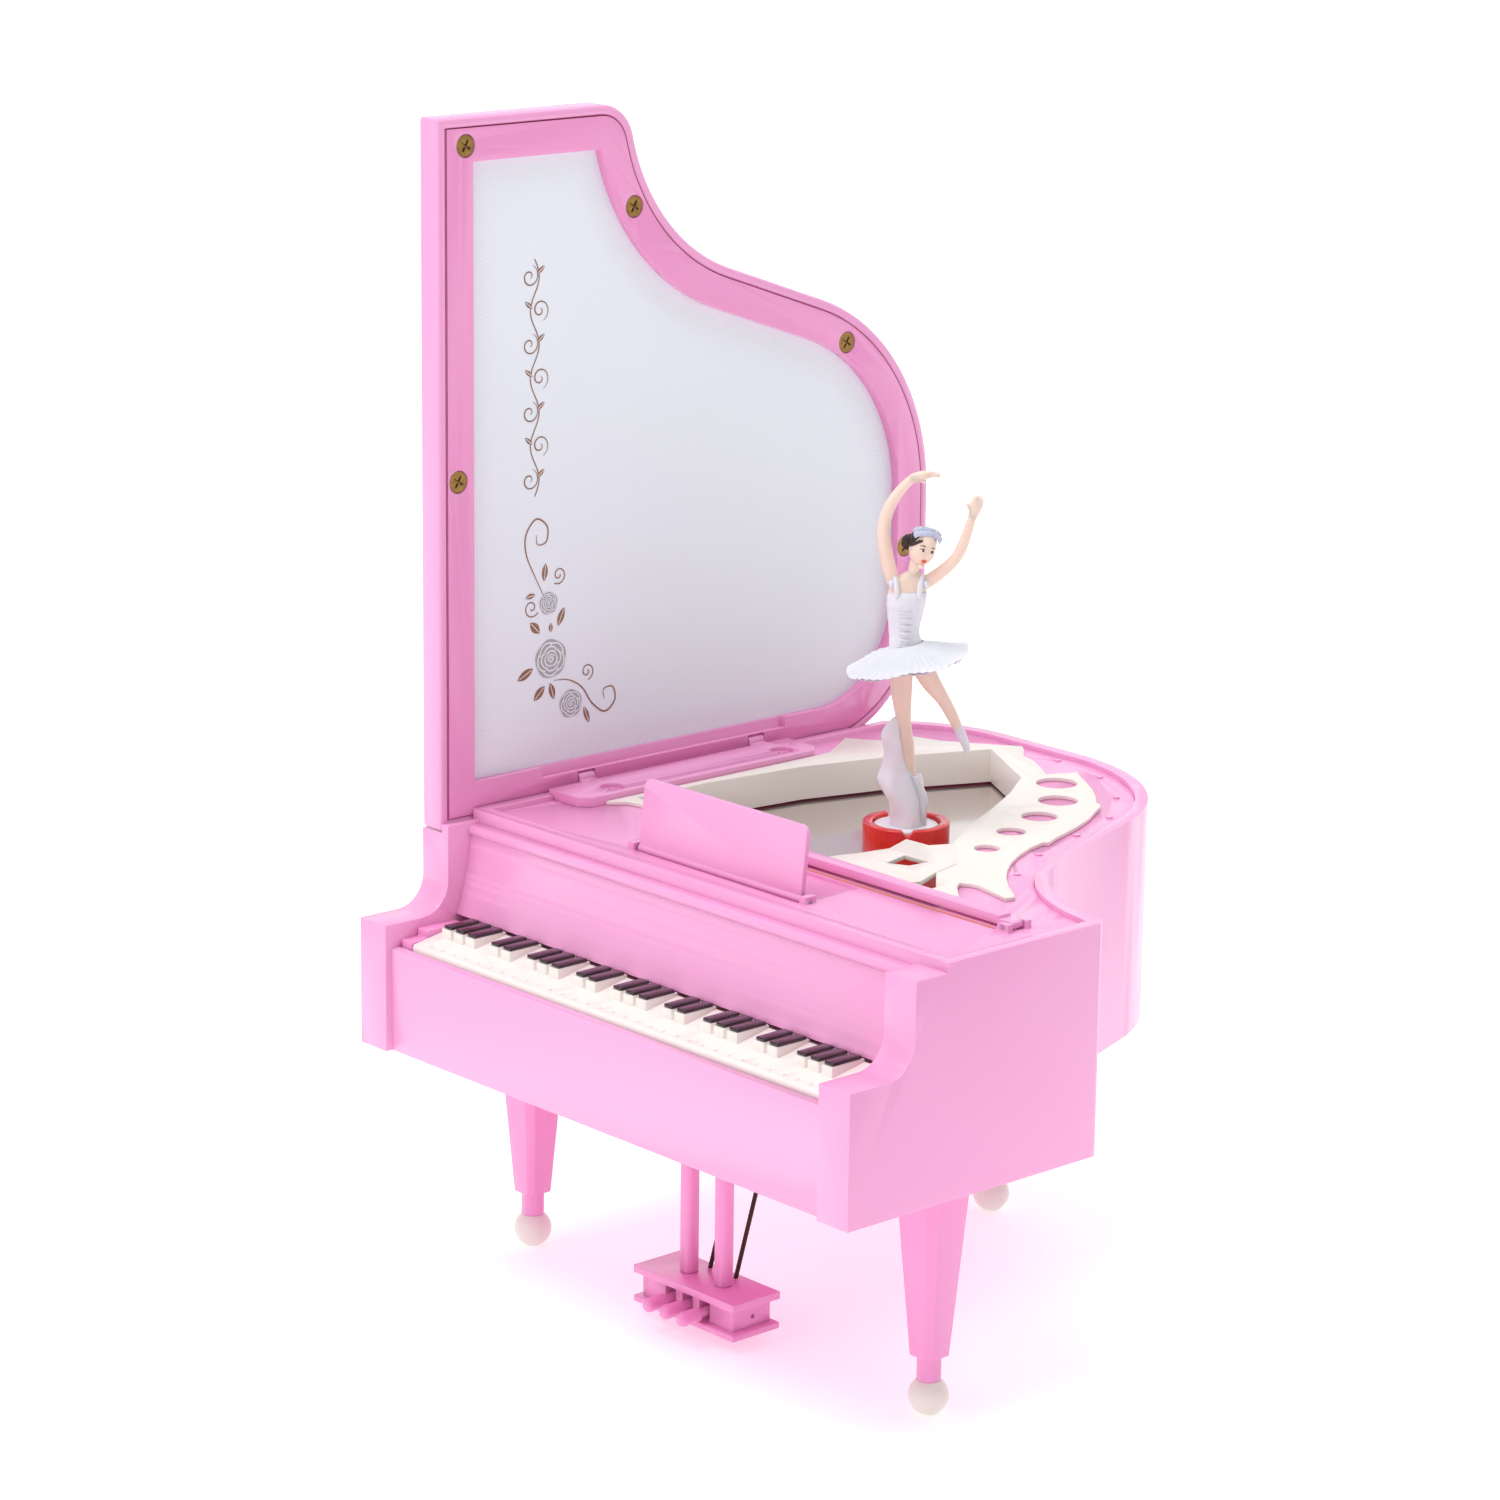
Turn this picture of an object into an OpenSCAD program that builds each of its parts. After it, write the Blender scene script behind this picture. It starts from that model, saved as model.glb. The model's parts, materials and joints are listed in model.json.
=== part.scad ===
// Grand-piano ballerina music box.
// Origin: centre of the overall footprint, on the surface that the feet stand on.
// +X is the treble (right) side, +Y runs to the tail, +Z is up. Millimetres.
// Most modules are written in the case frame: x = 0 on the middle of the case,
// y = 0 at the front of the cheeks and z = 0 at the underside of the case.

/* [Case] */
// Width of the case over the two cheeks
case_w = 140; // [130:1:150]
// Length of the case from the cheek fronts to the tail
case_d = 147.3; // [145:0.1:150]
// Height of the case from its underside to the rim
case_h = 44.9; // [43:0.1:48]
// Thickness of the case walls
wall = 2; // [1.6:0.1:2.4]
// Length of the straight right side before the bent side begins
side_d = 63.5; // [60:0.5:66]
// Radius of the rounded tail
tail_r = 46; // [44:0.5:47]
// Radius of the hollow in the bent side
bend_r = 39.6; // [38:0.2:41]
// Radius of the left tail corner
corner_r = 30; // [26:0.5:32]
// Width of the raised rim around the deck
rim_w = 2.6; // [2:0.1:3]
// Depth of the deck below the rim
deck_drop = 0.9; // [0.5:0.1:1.2]

/* [Front] */
// Width of each cheek beside the keys
cheek_w = 8; // [7:0.5:9]
// Height of the cheek nose in front
cheek_low = 25.6; // [24:0.2:27]
// Height of the cheek behind its scroll
cheek_top = 43; // [42:0.1:43.5]
// Depth at which the upper block starts
block_y = 23.5; // [22:0.5:25]
// Height of the front panel under the keys
panel_h = 20.8; // [19:0.2:22]
// Number of groups of sharps on the keyboard
sharp_groups = 9; // [5:2:9]
// Distance between the middles of two groups of sharps
group_pitch = 12.69; // [12:0.01:12.8]

/* [Legs] */
// Height of the underside of the case above the floor
leg_h = 46.7; // [40:0.1:55]
// Diameter of the ball feet
ball_d = 7.6; // [7:0.1:8]
// Distance of the front legs from the middle
leg_x = 57.4; // [52:0.2:58]
// Distance of the front legs from the cheek fronts
leg_y = 33.4; // [31:0.2:36]

/* [Lid] */
// Thickness of the lid
lid_t = 5.7; // [5.6:0.1:6]
// Width of the frame around the mirror
frame_w = 8.6; // [7:0.1:10]
// Distance of the lid's front edge from the cheek fronts
lid_front = 15.6; // [15.5:0.1:18]

/* [Dancer] */
// Distance of the dancer's axis from the middle, to the right
dancer_x = -3.7; // [-6:0.1:0]
// Distance of the dancer's axis from the cheek fronts
dancer_y = 84; // [80:0.5:88]
// Radius of the red magnet cup
cup_r = 8.6; // [7.6:0.1:9]
// Height from the cup's rim to the raised hands
dancer_h = 70; // [68:0.2:72]

/* [Movement] */
// Teeth on the spring barrel
barrel_teeth = 48; // [48]
// Teeth on the second pinion
pinion_teeth = 12; // [12]
// Teeth on the second wheel
wheel_teeth = 40; // [40]
// Teeth on the fly pinion
fly_teeth = 10; // [10]
// Radius of the pinned cylinder
cylinder_r = 5.5; // [5:0.1:6]

/* [Hidden] */
$fn = 64;

tiny = 0.01;
half_w = case_w / 2;
pink = [0.97, 0.70, 0.90];
deep_pink = [0.93, 0.55, 0.76];
cream = [0.94, 0.92, 0.88];
brass = [0.80, 0.66, 0.36];
steel = [0.72, 0.73, 0.75];
bronze = [0.52, 0.40, 0.20];

// Plan of the case: A is the left tail corner, B the tail, C the hollow of the bent side.
centre_a = [-half_w + corner_r, case_d - corner_r];
centre_b = [-18, case_d - tail_r];
centre_c = [half_w + 2, side_d + bend_r];
span_bc = centre_c - centre_b;
angle_bc = atan2(span_bc.y, span_bc.x) + acos((tail_r + bend_r) / norm(span_bc));

// Deck and stage levels, in the case frame.
lid_gap = 0.3;
deck_z = case_h - deck_drop;
deck_left = lid_t + lid_gap + rim_w;
deck_front = block_y + rim_w;
plate_t = 1.6;
stage_z = 37.2;
mirror_t = 1;
ledge_z = 46;
cover_z = 0.6;
cover_t = 2;

// Lid hinge axis, placed so that the closed lid lies flush with the left side.
lid_bottom = 41.5;
lid_seat = lid_bottom - lid_gap;
closed_z = case_h + lid_gap;
lid_in_x = -half_w + lid_t;
hinge_x = (closed_z + lid_in_x - half_w - lid_bottom) / 2;
hinge_z = hinge_x + half_w + lid_bottom;
hinge_pin_r = 0.6;
hinge_y = [53, 99];
knuckle_w = 4;
knuckle_r = 1.3;
fit = 0.05;

// Movement levels, in the case frame.
bed_z = 6;
bed_t = 1.5;
barrel_z = 9;
gear_z = 17;
gear_t = 2;
train_module = 0.5;
wheel_module = 0.4;
barrel_pitch_r = barrel_teeth * train_module / 2;
pinion_pitch_r = pinion_teeth * train_module / 2;
wheel_pitch_r = wheel_teeth * wheel_module / 2;
fly_pitch_r = fly_teeth * wheel_module / 2;
second_x = dancer_x - barrel_pitch_r - pinion_pitch_r;
fly_x = second_x - wheel_pitch_r - fly_pitch_r;
arbor_r = 1.5;
cylinder_z = 24.5;
cylinder_x = dancer_x + 10;
cylinder_len = 20;
crown_teeth = 38;

ball_flat = 0.35;
ball_top = -40.2;

// Lyre levels, in the case frame.
lyre_y = 29.4;
lyre_top = -36.3;
lyre_low = -43.8;
pedal_pitch = 4.9;

strip_x = [lid_in_x + lid_gap + 0.1, -52];
strip_y = [42, 106.5];

module in_case() {
  translate([0, -case_d / 2, leg_h]) children();
}

function on_arc(c, r, a) = c + r * [cos(a), sin(a)];
function arc(c, r, a0, a1, n) = [for (i = [0:n]) on_arc(c, r, a0 + (a1 - a0) * i / n)];

// Plan outline of the piano, drawn in by d along the curves and cut off in front at y0.
// The straight sides sit at x = -half_w + dl and x = half_w - dr; nose is the right corner radius.
module piano_plan(d, dl, dr, y0, nose) {
  ra = corner_r - d;
  rb = tail_r - d;
  rc = bend_r + d;
  x0 = -half_w + dl;
  x1 = half_w - dr;
  left_a = acos(max(-1, (x0 - centre_a.x) / ra));
  nose_x = x1 - nose;
  nose_c = [nose_x, centre_c.y - sqrt(pow(rc + nose, 2) - pow(centre_c.x - nose_x, 2))];
  nose_a = atan2(centre_c.y - nose_c.y, centre_c.x - nose_c.x);
  polygon(concat([[x0, y0]], arc(centre_a, ra, left_a, 90, 22), arc(centre_b, rb, 90, angle_bc, 20),
                 arc(centre_c, -rc, angle_bc, nose_a, 22), arc(nose_c, nose, nose_a, 0, 12), [[x1, y0]]));
}

module piano_block(d, dl, dr, y0, nose, z0, z1) {
  translate([0, 0, z0]) linear_extrude(z1 - z0) piano_plan(d, dl, dr, y0, nose);
}

// Cheek side view: a low nose, a hollow scroll and the taller rear part.
module cheek_profile(y1) {
  scroll_r = 6.4;
  scroll = [9.2, cheek_low + scroll_r];
  rise_y = scroll.x + scroll_r;
  difference() {
    polygon([[0, 0], [y1, 0], [y1, cheek_top], [rise_y, cheek_top], [rise_y, scroll.y],
             [scroll.x, cheek_low], [0, cheek_low]]);
    translate(scroll) circle(r = scroll_r, $fn = 64);
  }
}

module cheek(x) {
  translate([x, 0, 0]) rotate([90, 0, 90]) linear_extrude(cheek_w) cheek_profile(block_y + 2);
}

module case_shell() {
  inner_x = half_w - cheek_w;
  key_bed = panel_h - 1.8;
  color(pink) in_case() difference() {
    union() {
      difference() {
        union() {
          piano_block(0, 0, 0, block_y, 2, 0, case_h);
          cheek(-half_w);
          cheek(inner_x);
          translate([-inner_x - tiny, 1.5, 0]) cube([2 * inner_x + 2 * tiny, block_y, panel_h]);
        }
        // hollow of the case, open below
        piano_block(wall, wall, wall, block_y + 2, 1, -1, lid_seat - 1.6);
        translate([-half_w + wall, 1.5 + wall, -1]) cube([case_w - 2 * wall, block_y + 2, key_bed - 1]);
        // key bed behind the front panel
        translate([-inner_x, 1.5 + wall, key_bed]) cube([2 * inner_x, block_y - 1.5 - wall, 30]);
        // opening of the deck inside the rim, with a ledge below it
        piano_block(rim_w, deck_left, rim_w, deck_front, 1, deck_z - plate_t, case_h + 1);
        piano_block(rim_w + 1.6, deck_left + 1.6, rim_w + 1.6, deck_front + 1.6, 1, 30, case_h);
        // left edge cut down for the lid, and the rim cut for the hinge strip
        translate([-half_w - 1, lid_front - lid_gap, lid_seat])
          cube([lid_in_x + lid_gap + half_w + 1, case_d, 10]);
        translate([-half_w, strip_y[0] - 0.2, deck_z]) cube([12, strip_y[1] - strip_y[0] + 0.4, 5]);
      }
      for (p = cover_screw_at) translate([p.x, p.y, cover_z + cover_t])
        cylinder(h = (p.y < block_y ? key_bed : lid_seat) - cover_z - cover_t - 1.4, r = 2.6, $fn = 32);
    }
    for (p = cover_screw_at) translate([p.x, p.y, cover_z]) cylinder(h = 8, r = 0.9, $fn = 24);
  }
}

module screw(head_r, head_t, shank_r, len) {
  difference() {
    union() {
      translate([0, 0, -head_t]) cylinder(h = head_t, r = head_r, $fn = 32);
      translate([0, 0, -len]) cylinder(h = len - head_t + tiny, r = shank_r, $fn = 24);
    }
    for (a = [0, 90]) rotate([0, 0, a]) translate([-head_r * 0.6, -0.22, -0.6]) cube([head_r * 1.2, 0.44, 1]);
  }
}

cover_screw_at = [[-60, 12], [60, 12], [-62, 112], [2.9, 137.6]];
leg_at = [[-leg_x, leg_y], [leg_x, leg_y], [-12, 119]];

module bottom_cover() {
  color(pink) in_case() difference() {
    union() {
      piano_block(wall + 0.2, wall + 0.2, wall + 0.2, block_y, 1, cover_z, cover_z + cover_t);
      translate([-half_w + wall + 0.2, 1.7 + wall, cover_z])
        cube([case_w - 2 * wall - 0.4, block_y, cover_t]);
    }
    translate([dancer_x, dancer_y, 0]) cylinder(h = 5, r = 4);
    for (p = concat(cover_screw_at, leg_at)) translate([p.x, p.y, 0]) cylinder(h = 5, r = 0.9, $fn = 24);
  }
}

module cover_screws() {
  color(bronze) in_case() for (p = cover_screw_at)
    translate([p.x, p.y, 0]) rotate([180, 0, 0]) screw(1.7, 0.6, 0.9, 5);
}

desk_w = 46;
desk_y = 31.8;
desk_len = 13.9;
desk_t = 1.1;
desk_lean = 6;
prop_y = 49.3;
prop_w = 3;
prop_x = [-22, 60.6];
prop_z = deck_z + 0.9;

strip_screw_x = -56.4;
rivet_at = [[-18.7, 142], [-3.8, 139], [9.4, 130], [18.9, 118], [24, 103.5], [28.9, 88], [35.9, 75]];

// Corners of the well, moved outwards by g from the middle of the well.
well_mid = [-22, 92];
well_corners = [[-50.6, 53], [-50.6, 71.5], [-48, 96.4], [-42, 116.8], [-32.6, 137.3], [-11.9, 125.9],
                [-4.4, 115.3], [2, 103.8], [6.9, 93.7], [12.9, 82.7], [19, 72.5],
                [27, 62.6], [35, 54.8], [35, 53]];
function well(g) = [for (p = well_corners) p + (p - well_mid) * g / norm(p - well_mid)];

module deck_plate() {
  color(pink) in_case() difference() {
    union() {
      difference() {
        piano_block(rim_w + 0.1, deck_left + 0.1, rim_w + 0.1, deck_front + 0.1, 1,
                    deck_z - plate_t, deck_z);
        // shallow bed where the desk lies when it is folded
        translate([-desk_w / 2 - 0.4, desk_y - 1.3, deck_z - 0.7]) cube([desk_w + 0.8, desk_len + 1.6, 5]);
      }
      // ears for the prop pin
      for (s = [-1, 1]) translate([prop_x[1] - 1.4, prop_y + s * (prop_w / 2 + 0.9) - 0.6, deck_z - tiny])
        cube([2.8, 1.2, 1.6]);
      // small rivet heads along the bent side
      for (p = rivet_at) translate([p.x, p.y, deck_z - tiny]) cylinder(h = 0.4, r = 0.7, $fn = 24);
      // cheeks of the desk pivot
      for (s = [-1, 1]) translate([s * (desk_w / 2 + 1.3) - 0.8, desk_y - 1.4, deck_z - tiny])
        cube([1.6, 2.8, 1.4]);
    }
    translate([0, 0, 30]) linear_extrude(20) polygon(well(0.1));
    translate([prop_x[1], prop_y - 3, prop_z]) rotate([-90, 0, 0]) cylinder(h = 6, r = 0.5, $fn = 32);
    for (s = [-1, 1]) translate([s * (desk_w / 2 + 0.7), desk_y, deck_z + 0.3]) rotate([0, 90, 0])
      cylinder(h = 2.8, r = 0.5, center = true, $fn = 32);
    for (y = hinge_y) translate([strip_screw_x, y, 30]) cylinder(h = 20, r = 0.8, $fn = 24);
  }
}

// Fallboard: a nearly upright hollow panel with a rounded lip on top, between the cheeks.
module fallboard() {
  x = half_w - cheek_w - 0.1;
  back = block_y - 0.1;
  hollow = [-40.9, 47.2];
  hollow_r = 62.5;
  lip = [21.6, 41.4];
  lip_r = 1.1;
  low_a = -asin((hollow.y - 24.9) / hollow_r);
  high_a = -asin((hollow.y - 40.4) / hollow_r);
  color(pink) in_case() rotate([90, 0, 90]) translate([0, 0, -x]) linear_extrude(2 * x)
    polygon(concat(arc(hollow, hollow_r, low_a, high_a, 24), arc(lip, lip_r, 250, 90, 14),
                   [[back, lip.y + lip_r], [back, 24.9]]));
}

keys_x = half_w - cheek_w - 3.8;
keys_y = [3.8, 20];
key_z = [22, 24.4];
sharp_len = 7.4;
sharp_y = 9.6;
sharp_z = 24.9;
sharp_w = 2.3;
natural_count = 5 * 4 + 4 * 3;
natural_pitch = group_pitch * 2 / 7;
sharp_xs = [for (g = [0:sharp_groups - 1]) let (n = g % 2 == 0 ? 3 : 2) for (i = [0:n - 1])
  (g - (sharp_groups - 1) / 2) * group_pitch + (i - (n - 1) / 2) * natural_pitch];

module keyboard() {
  back_z = key_z[1] - 0.8;
  profile = [[keys_y[1], panel_h - 1.8], [keys_y[0], panel_h - 1.8], [keys_y[0], key_z[0] - 0.5],
             [keys_y[0] + 0.4, key_z[0]], [17, key_z[1]], [17, back_z], [keys_y[1], back_z]];
  slope = atan((key_z[1] - key_z[0]) / (17 - keys_y[0]));
  color(cream) in_case() {
    difference() {
      rotate([90, 0, 90]) translate([0, 0, -keys_x]) linear_extrude(2 * keys_x) polygon(profile);
      // a row of short grooves marks the fronts of the naturals
      for (i = [1:natural_count - 1])
        translate([(i - natural_count / 2) * natural_pitch - 0.15, keys_y[0] + 1.2, key_z[0] - 0.05])
          rotate([slope, 0, 0]) cube([0.3, 0.9, 1]);
    }
    // raised blocks that carry the sharps
    for (x = sharp_xs) translate([x - sharp_w / 2 - 0.2, sharp_y - 0.5, key_z[0]])
      cube([sharp_w + 0.4, sharp_len + 0.5, sharp_z - key_z[0]]);
  }
}

module black_keys() {
  color([0.22, 0.12, 0.20]) in_case() for (x = sharp_xs) translate([x - sharp_w / 2, sharp_y - 0.2, sharp_z])
    cube([sharp_w, sharp_len - 0.2, 0.7]);
}

module key_blocks() {
  block_x = half_w - cheek_w - 1.8;
  color(deep_pink) in_case() for (side = [-1, 1]) translate([side * block_x - 1.7, 3.7, panel_h - 1.8]) {
    cube([3.4, 9, 3.4]);
    translate([0, 4, 0]) cube([3.4, 9.2, 5]);
  }
}

// Cream plate round the well: pointed tips, five round holes and the walls of the well.
harp_points = [[-52.6, 46.4], [-49, 50.4], [-46, 51.3], [37.2, 51.3], [41.3, 54.3], [36.1, 58.8],
               [34.7, 60.9], [36.1, 62], [38.1, 62.4], [42.6, 61.4], [47.4, 60.3], [47.9, 62.3],
               [45.7, 64], [42, 66.5], [38.1, 69.9], [34.4, 73.8], [31.1, 78.2], [28.3, 83.2],
               [25.9, 88.9], [24.9, 93.2], [25.7, 94.1], [24.2, 97.4], [22.7, 102.1], [21, 106.9],
               [18.6, 112.5], [15.5, 117.6], [14, 120.5], [12.6, 122], [11.2, 122.4], [8.1, 125.4],
               [3.5, 129.2], [-1.6, 132.6], [-5.7, 135], [-7.8, 136.6], [-10.8, 130.5],
               [-15.2, 133.5], [-20, 136.2], [-24.4, 137.7], [-27.7, 141.2], [-30, 143],
               [-34.4, 139.6], [-44, 133], [-56.5, 129], [-51.6, 123.4], [-58.5, 119], [-52, 108.5]];
brace_points = [[6.1, 53], [8.3, 60.2], [9.6, 66.7], [6.9, 73.8], [12.9, 74.1], [15.3, 79], [25.6, 69.1],
                [27.3, 61.6], [29.8, 55.5], [29, 53]];
brace_gap = [[16.6, 59.1], [14.9, 65.7], [21.2, 66.1], [20.7, 61.2]];
hole_at = [[-4.5, 127.1, 4.2], [5.1, 117.6, 4], [11.2, 106.1, 3.6], [15.5, 93.9, 2.9], [21, 81.7, 2.5]];

module harp_frame() {
  color(cream) in_case() difference() {
    union() {
      difference() {
        union() {
          translate([0, 0, deck_z + 0.05]) linear_extrude(0.8) polygon(harp_points);
          translate([0, 0, stage_z + 0.6]) linear_extrude(deck_z - stage_z) polygon(well(0));
        }
        translate([0, 0, 30]) linear_extrude(20) polygon(well(-1.2));
      }
      // forked brace over the front of the well
      translate([0, 0, deck_z + 0.15]) linear_extrude(0.9) polygon(brace_points);
    }
    translate([0, 0, 30]) linear_extrude(20) polygon(brace_gap);
    for (h = hole_at) translate([h.x, h.y, 30]) cylinder(h = 20, r = h.z, $fn = 40);
    translate([-half_w, strip_y[0] - 0.3, 30])
      cube([half_w + strip_x[1] + 0.3, strip_y[1] - strip_y[0] + 0.6, 30]);
  }
}

// Tray that hangs under the deck and carries the mirror.
module stage_tray() {
  tray_low = stage_z - mirror_t - 1.2;
  color([0.62, 0.10, 0.25]) in_case() difference() {
    translate([0, 0, tray_low]) linear_extrude(deck_z - plate_t - tray_low) polygon(well(1.8));
    translate([0, 0, stage_z - mirror_t]) linear_extrude(20) polygon(well(0.4));
  }
}

module stage_mirror() {
  color([0.85, 0.88, 0.92]) in_case() translate([0, 0, stage_z - mirror_t]) linear_extrude(mirror_t)
    polygon(well(0.3));
}

module hinge_strip() {
  low = deck_z + 0.05;
  c = 2.4;
  color(pink) in_case() difference() {
    union() {
      translate([0, 0, low]) linear_extrude(0.9)
        polygon([[strip_x[0], strip_y[0]], [strip_x[0], strip_y[1]], [strip_x[1] - c, strip_y[1]],
                 [strip_x[1], strip_y[1] - c], [strip_x[1], strip_y[0] + c], [strip_x[1] - c, strip_y[0]]]);
      translate([0, 0, low]) linear_extrude(ledge_z - low)
        polygon([[strip_x[0] + 1, strip_y[0]], [strip_x[0] + 1, strip_y[1]], [strip_x[1] - c, strip_y[1]],
                 [strip_x[1], strip_y[1] - c], [strip_x[1], strip_y[0] + c], [strip_x[1] - c, strip_y[0]]]);
      for (y = hinge_y) translate([0, y - knuckle_w / 2, 0]) {
        translate([hinge_x, 0, hinge_z]) rotate([-90, 0, 0]) cylinder(h = knuckle_w, r = knuckle_r, $fn = 40);
        translate([hinge_x, 0, deck_z + 0.3]) cube([3, knuckle_w, ledge_z - deck_z - 0.3]);
      }
    }
    for (y = hinge_y) {
      translate([hinge_x, y - knuckle_w, hinge_z]) rotate([-90, 0, 0])
        cylinder(h = 2 * knuckle_w, r = hinge_pin_r + fit, $fn = 40);
      translate([strip_screw_x, y, deck_z - 1]) cylinder(h = 9, r = 0.8, $fn = 24);
      translate([strip_screw_x, y, ledge_z - 1.3]) cylinder(h = 9, r = 2.5, $fn = 40);
    }
  }
}

module hinge_screws() {
  color(deep_pink) in_case() for (y = hinge_y) translate([strip_screw_x, y, ledge_z - 0.75])
    screw(2.1, 0.55, 0.8, 3.6);
}

// Square leg with chamfered corners that narrows to a round ferrule.
module leg(p) {
  leg_low = -35.3;
  color(deep_pink) in_case() translate([p.x, p.y, 0]) difference() {
    union() {
      hull() {
        translate([0, 0, cover_z - 0.5]) linear_extrude(0.5) chamfered(11.6, 1.8);
        translate([0, 0, leg_low]) linear_extrude(0.4) chamfered(6.2, 1.1);
      }
      translate([0, 0, ball_top]) cylinder(h = leg_low - ball_top + 0.2, r = 2.3, $fn = 40);
    }
    translate([0, 0, -6]) cylinder(h = 10, r = 0.9, $fn = 24);
  }
}

module chamfered(s, c) {
  h = s / 2;
  polygon([[h, h - c], [h - c, h], [c - h, h], [-h, h - c],
           [-h, c - h], [c - h, -h], [h - c, -h], [h, c - h]]);
}

// Ball foot with a small flat to stand on.
module ball_foot(p) {
  color(cream) in_case() translate([p.x, p.y, -leg_h]) difference() {
    translate([0, 0, ball_d / 2 - ball_flat]) sphere(d = ball_d, $fn = 48);
    translate([-10, -10, -20]) cube([20, 20, 20]);
    translate([-10, -10, leg_h + ball_top]) cube([20, 20, 10]);
  }
}

module leg_screws() {
  color(bronze) in_case() for (p = leg_at)
    translate([p.x, p.y, cover_z + cover_t + 0.6]) screw(1.8, 0.6, 0.9, 8);
}

lyre_post_x = 5;
lyre_size = [29, 12];
pedal_z = lyre_low + 3.4;

module lyre_posts() {
  color(deep_pink) in_case() for (s = [-1, 1])
    translate([s * lyre_post_x, lyre_y, lyre_top]) linear_extrude(cover_z - lyre_top) chamfered(3.3, 0.75);
}

module lyre_block() {
  body = [26, 9.6];
  color(deep_pink) in_case() translate([0, lyre_y, 0]) difference() {
    union() {
      translate([-lyre_size.x / 2, -lyre_size.y / 2, lyre_top - 1.5]) cube([lyre_size.x, lyre_size.y, 1.5]);
      translate([-body.x / 2, -body.y / 2, lyre_low + 1.35])
        cube([body.x, body.y, lyre_top - lyre_low - 2.8]);
    }
    for (i = [-1:1]) translate([i * pedal_pitch - 1.5, -body.y / 2 - 1, lyre_low])
      cube([3, 7.8, 5.4]);
    translate([-20, 0.4, pedal_z]) rotate([0, 90, 0]) cylinder(h = 40, r = 0.5, $fn = 24);
  }
}

module lyre_base() {
  color(deep_pink) in_case() translate([-lyre_size.x / 2, lyre_y - lyre_size.y / 2, lyre_low])
    cube([lyre_size.x, lyre_size.y, 1.35]);
}

module pedal_pin() {
  color(steel) in_case() translate([-12.5, lyre_y + 0.4, pedal_z]) rotate([0, 90, 0])
    cylinder(h = 25, r = 0.5, $fn = 24);
}

// Pedal: a round bar on the pin, with a rounded toe in front of the block.
module pedal(i) {
  reach = 10.6;
  toe_at = 7;
  color(deep_pink) in_case() translate([i * pedal_pitch, lyre_y + 0.4, pedal_z]) difference() {
    union() {
      rotate([0, 90, 0]) cylinder(h = 2.2, r = 1.15, center = true, $fn = 32);
      rotate([92, 0, 0]) cylinder(h = reach, r = 0.9, $fn = 32);
      rotate([92, 0, 0]) translate([0, 0, toe_at]) cylinder(h = reach - toe_at, r = 1.4, $fn = 32);
      rotate([92, 0, 0]) translate([0, 0, reach]) sphere(r = 1.4, $fn = 32);
    }
    rotate([0, 90, 0]) cylinder(h = 5, r = 0.5 + fit, center = true, $fn = 32);
  }
}

module brace_rods() {
  color([0.22, 0.10, 0.08]) in_case() difference() {
    for (s = [-1, 1]) translate([s * 3.7, lyre_y + 4, lyre_top - 1]) rotate([-17, 0, 0])
      cylinder(h = 40, r = 0.45, $fn = 24);
    translate([-10, 0, cover_z]) cube([20, 80, 20]);
    translate([-10, 0, lyre_top - 10]) cube([20, 80, 10]);
  }
}

// ---- Movement ----

// Straight-flanked teeth with generous play; a tooth points along +X when turn is 0.
module gear_plan(teeth, m, turn) {
  pitch_r = teeth * m / 2;
  root_r = pitch_r - 1.2 * m;
  tip_r = pitch_r + 0.75 * m;
  root_half = 28 / teeth * 2.1;
  tip_half = 28 / teeth * 0.85;
  union() {
    circle(r = root_r, $fn = 96);
    for (i = [0:teeth - 1]) rotate(turn + i * 360 / teeth)
      polygon([on_arc([0, 0], root_r - 0.1, -root_half), on_arc([0, 0], tip_r, -tip_half),
               on_arc([0, 0], tip_r, tip_half), on_arc([0, 0], root_r - 0.1, root_half)]);
  }
}

bed_size = [66, 44];
bed_at = [dancer_x - 33, dancer_y - 23];
bed_posts = [[3, 2.2], [63, 2.2], [3, 41], [54, 41]];
bed_corner = [10, 12];
bridge_y = 15.5;

module bedplate() {
  color(brass) in_case() difference() {
    union() {
      // one corner is cut off to clear the bent side
      translate([bed_at.x, bed_at.y, bed_z]) linear_extrude(bed_t)
        polygon([[0, 0], [bed_size.x, 0], [bed_size.x, bed_size.y - bed_corner.y],
                 [bed_size.x - bed_corner.x, bed_size.y], [0, bed_size.y]]);
      for (p = bed_posts) translate([bed_at.x + p.x, bed_at.y + p.y, cover_z + cover_t])
        cylinder(h = bed_z - cover_z - cover_t + tiny, r = 2.2, $fn = 32);
    }
    translate([dancer_x, dancer_y, 0]) cylinder(h = 20, r = arbor_r + fit, $fn = 40);
    for (x = [second_x, fly_x]) translate([x, dancer_y, 0]) cylinder(h = 20, r = 0.8 + fit, $fn = 32);
  }
}

module bedplate_screws() {
  color(steel) in_case() for (p = bed_posts)
    translate([bed_at.x + p.x, bed_at.y + p.y, bed_z + bed_t + 0.9]) rotate([0, 0, 45]) difference() {
      translate([0, 0, -0.9]) cylinder(h = 0.9, r = 1.4, $fn = 32);
      translate([-1, -0.2, -0.4]) cube([2, 0.4, 1]);
    }
}

comb_teeth = 18;
comb_x = cylinder_x + 3.2;
comb_pitch = 1;

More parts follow.
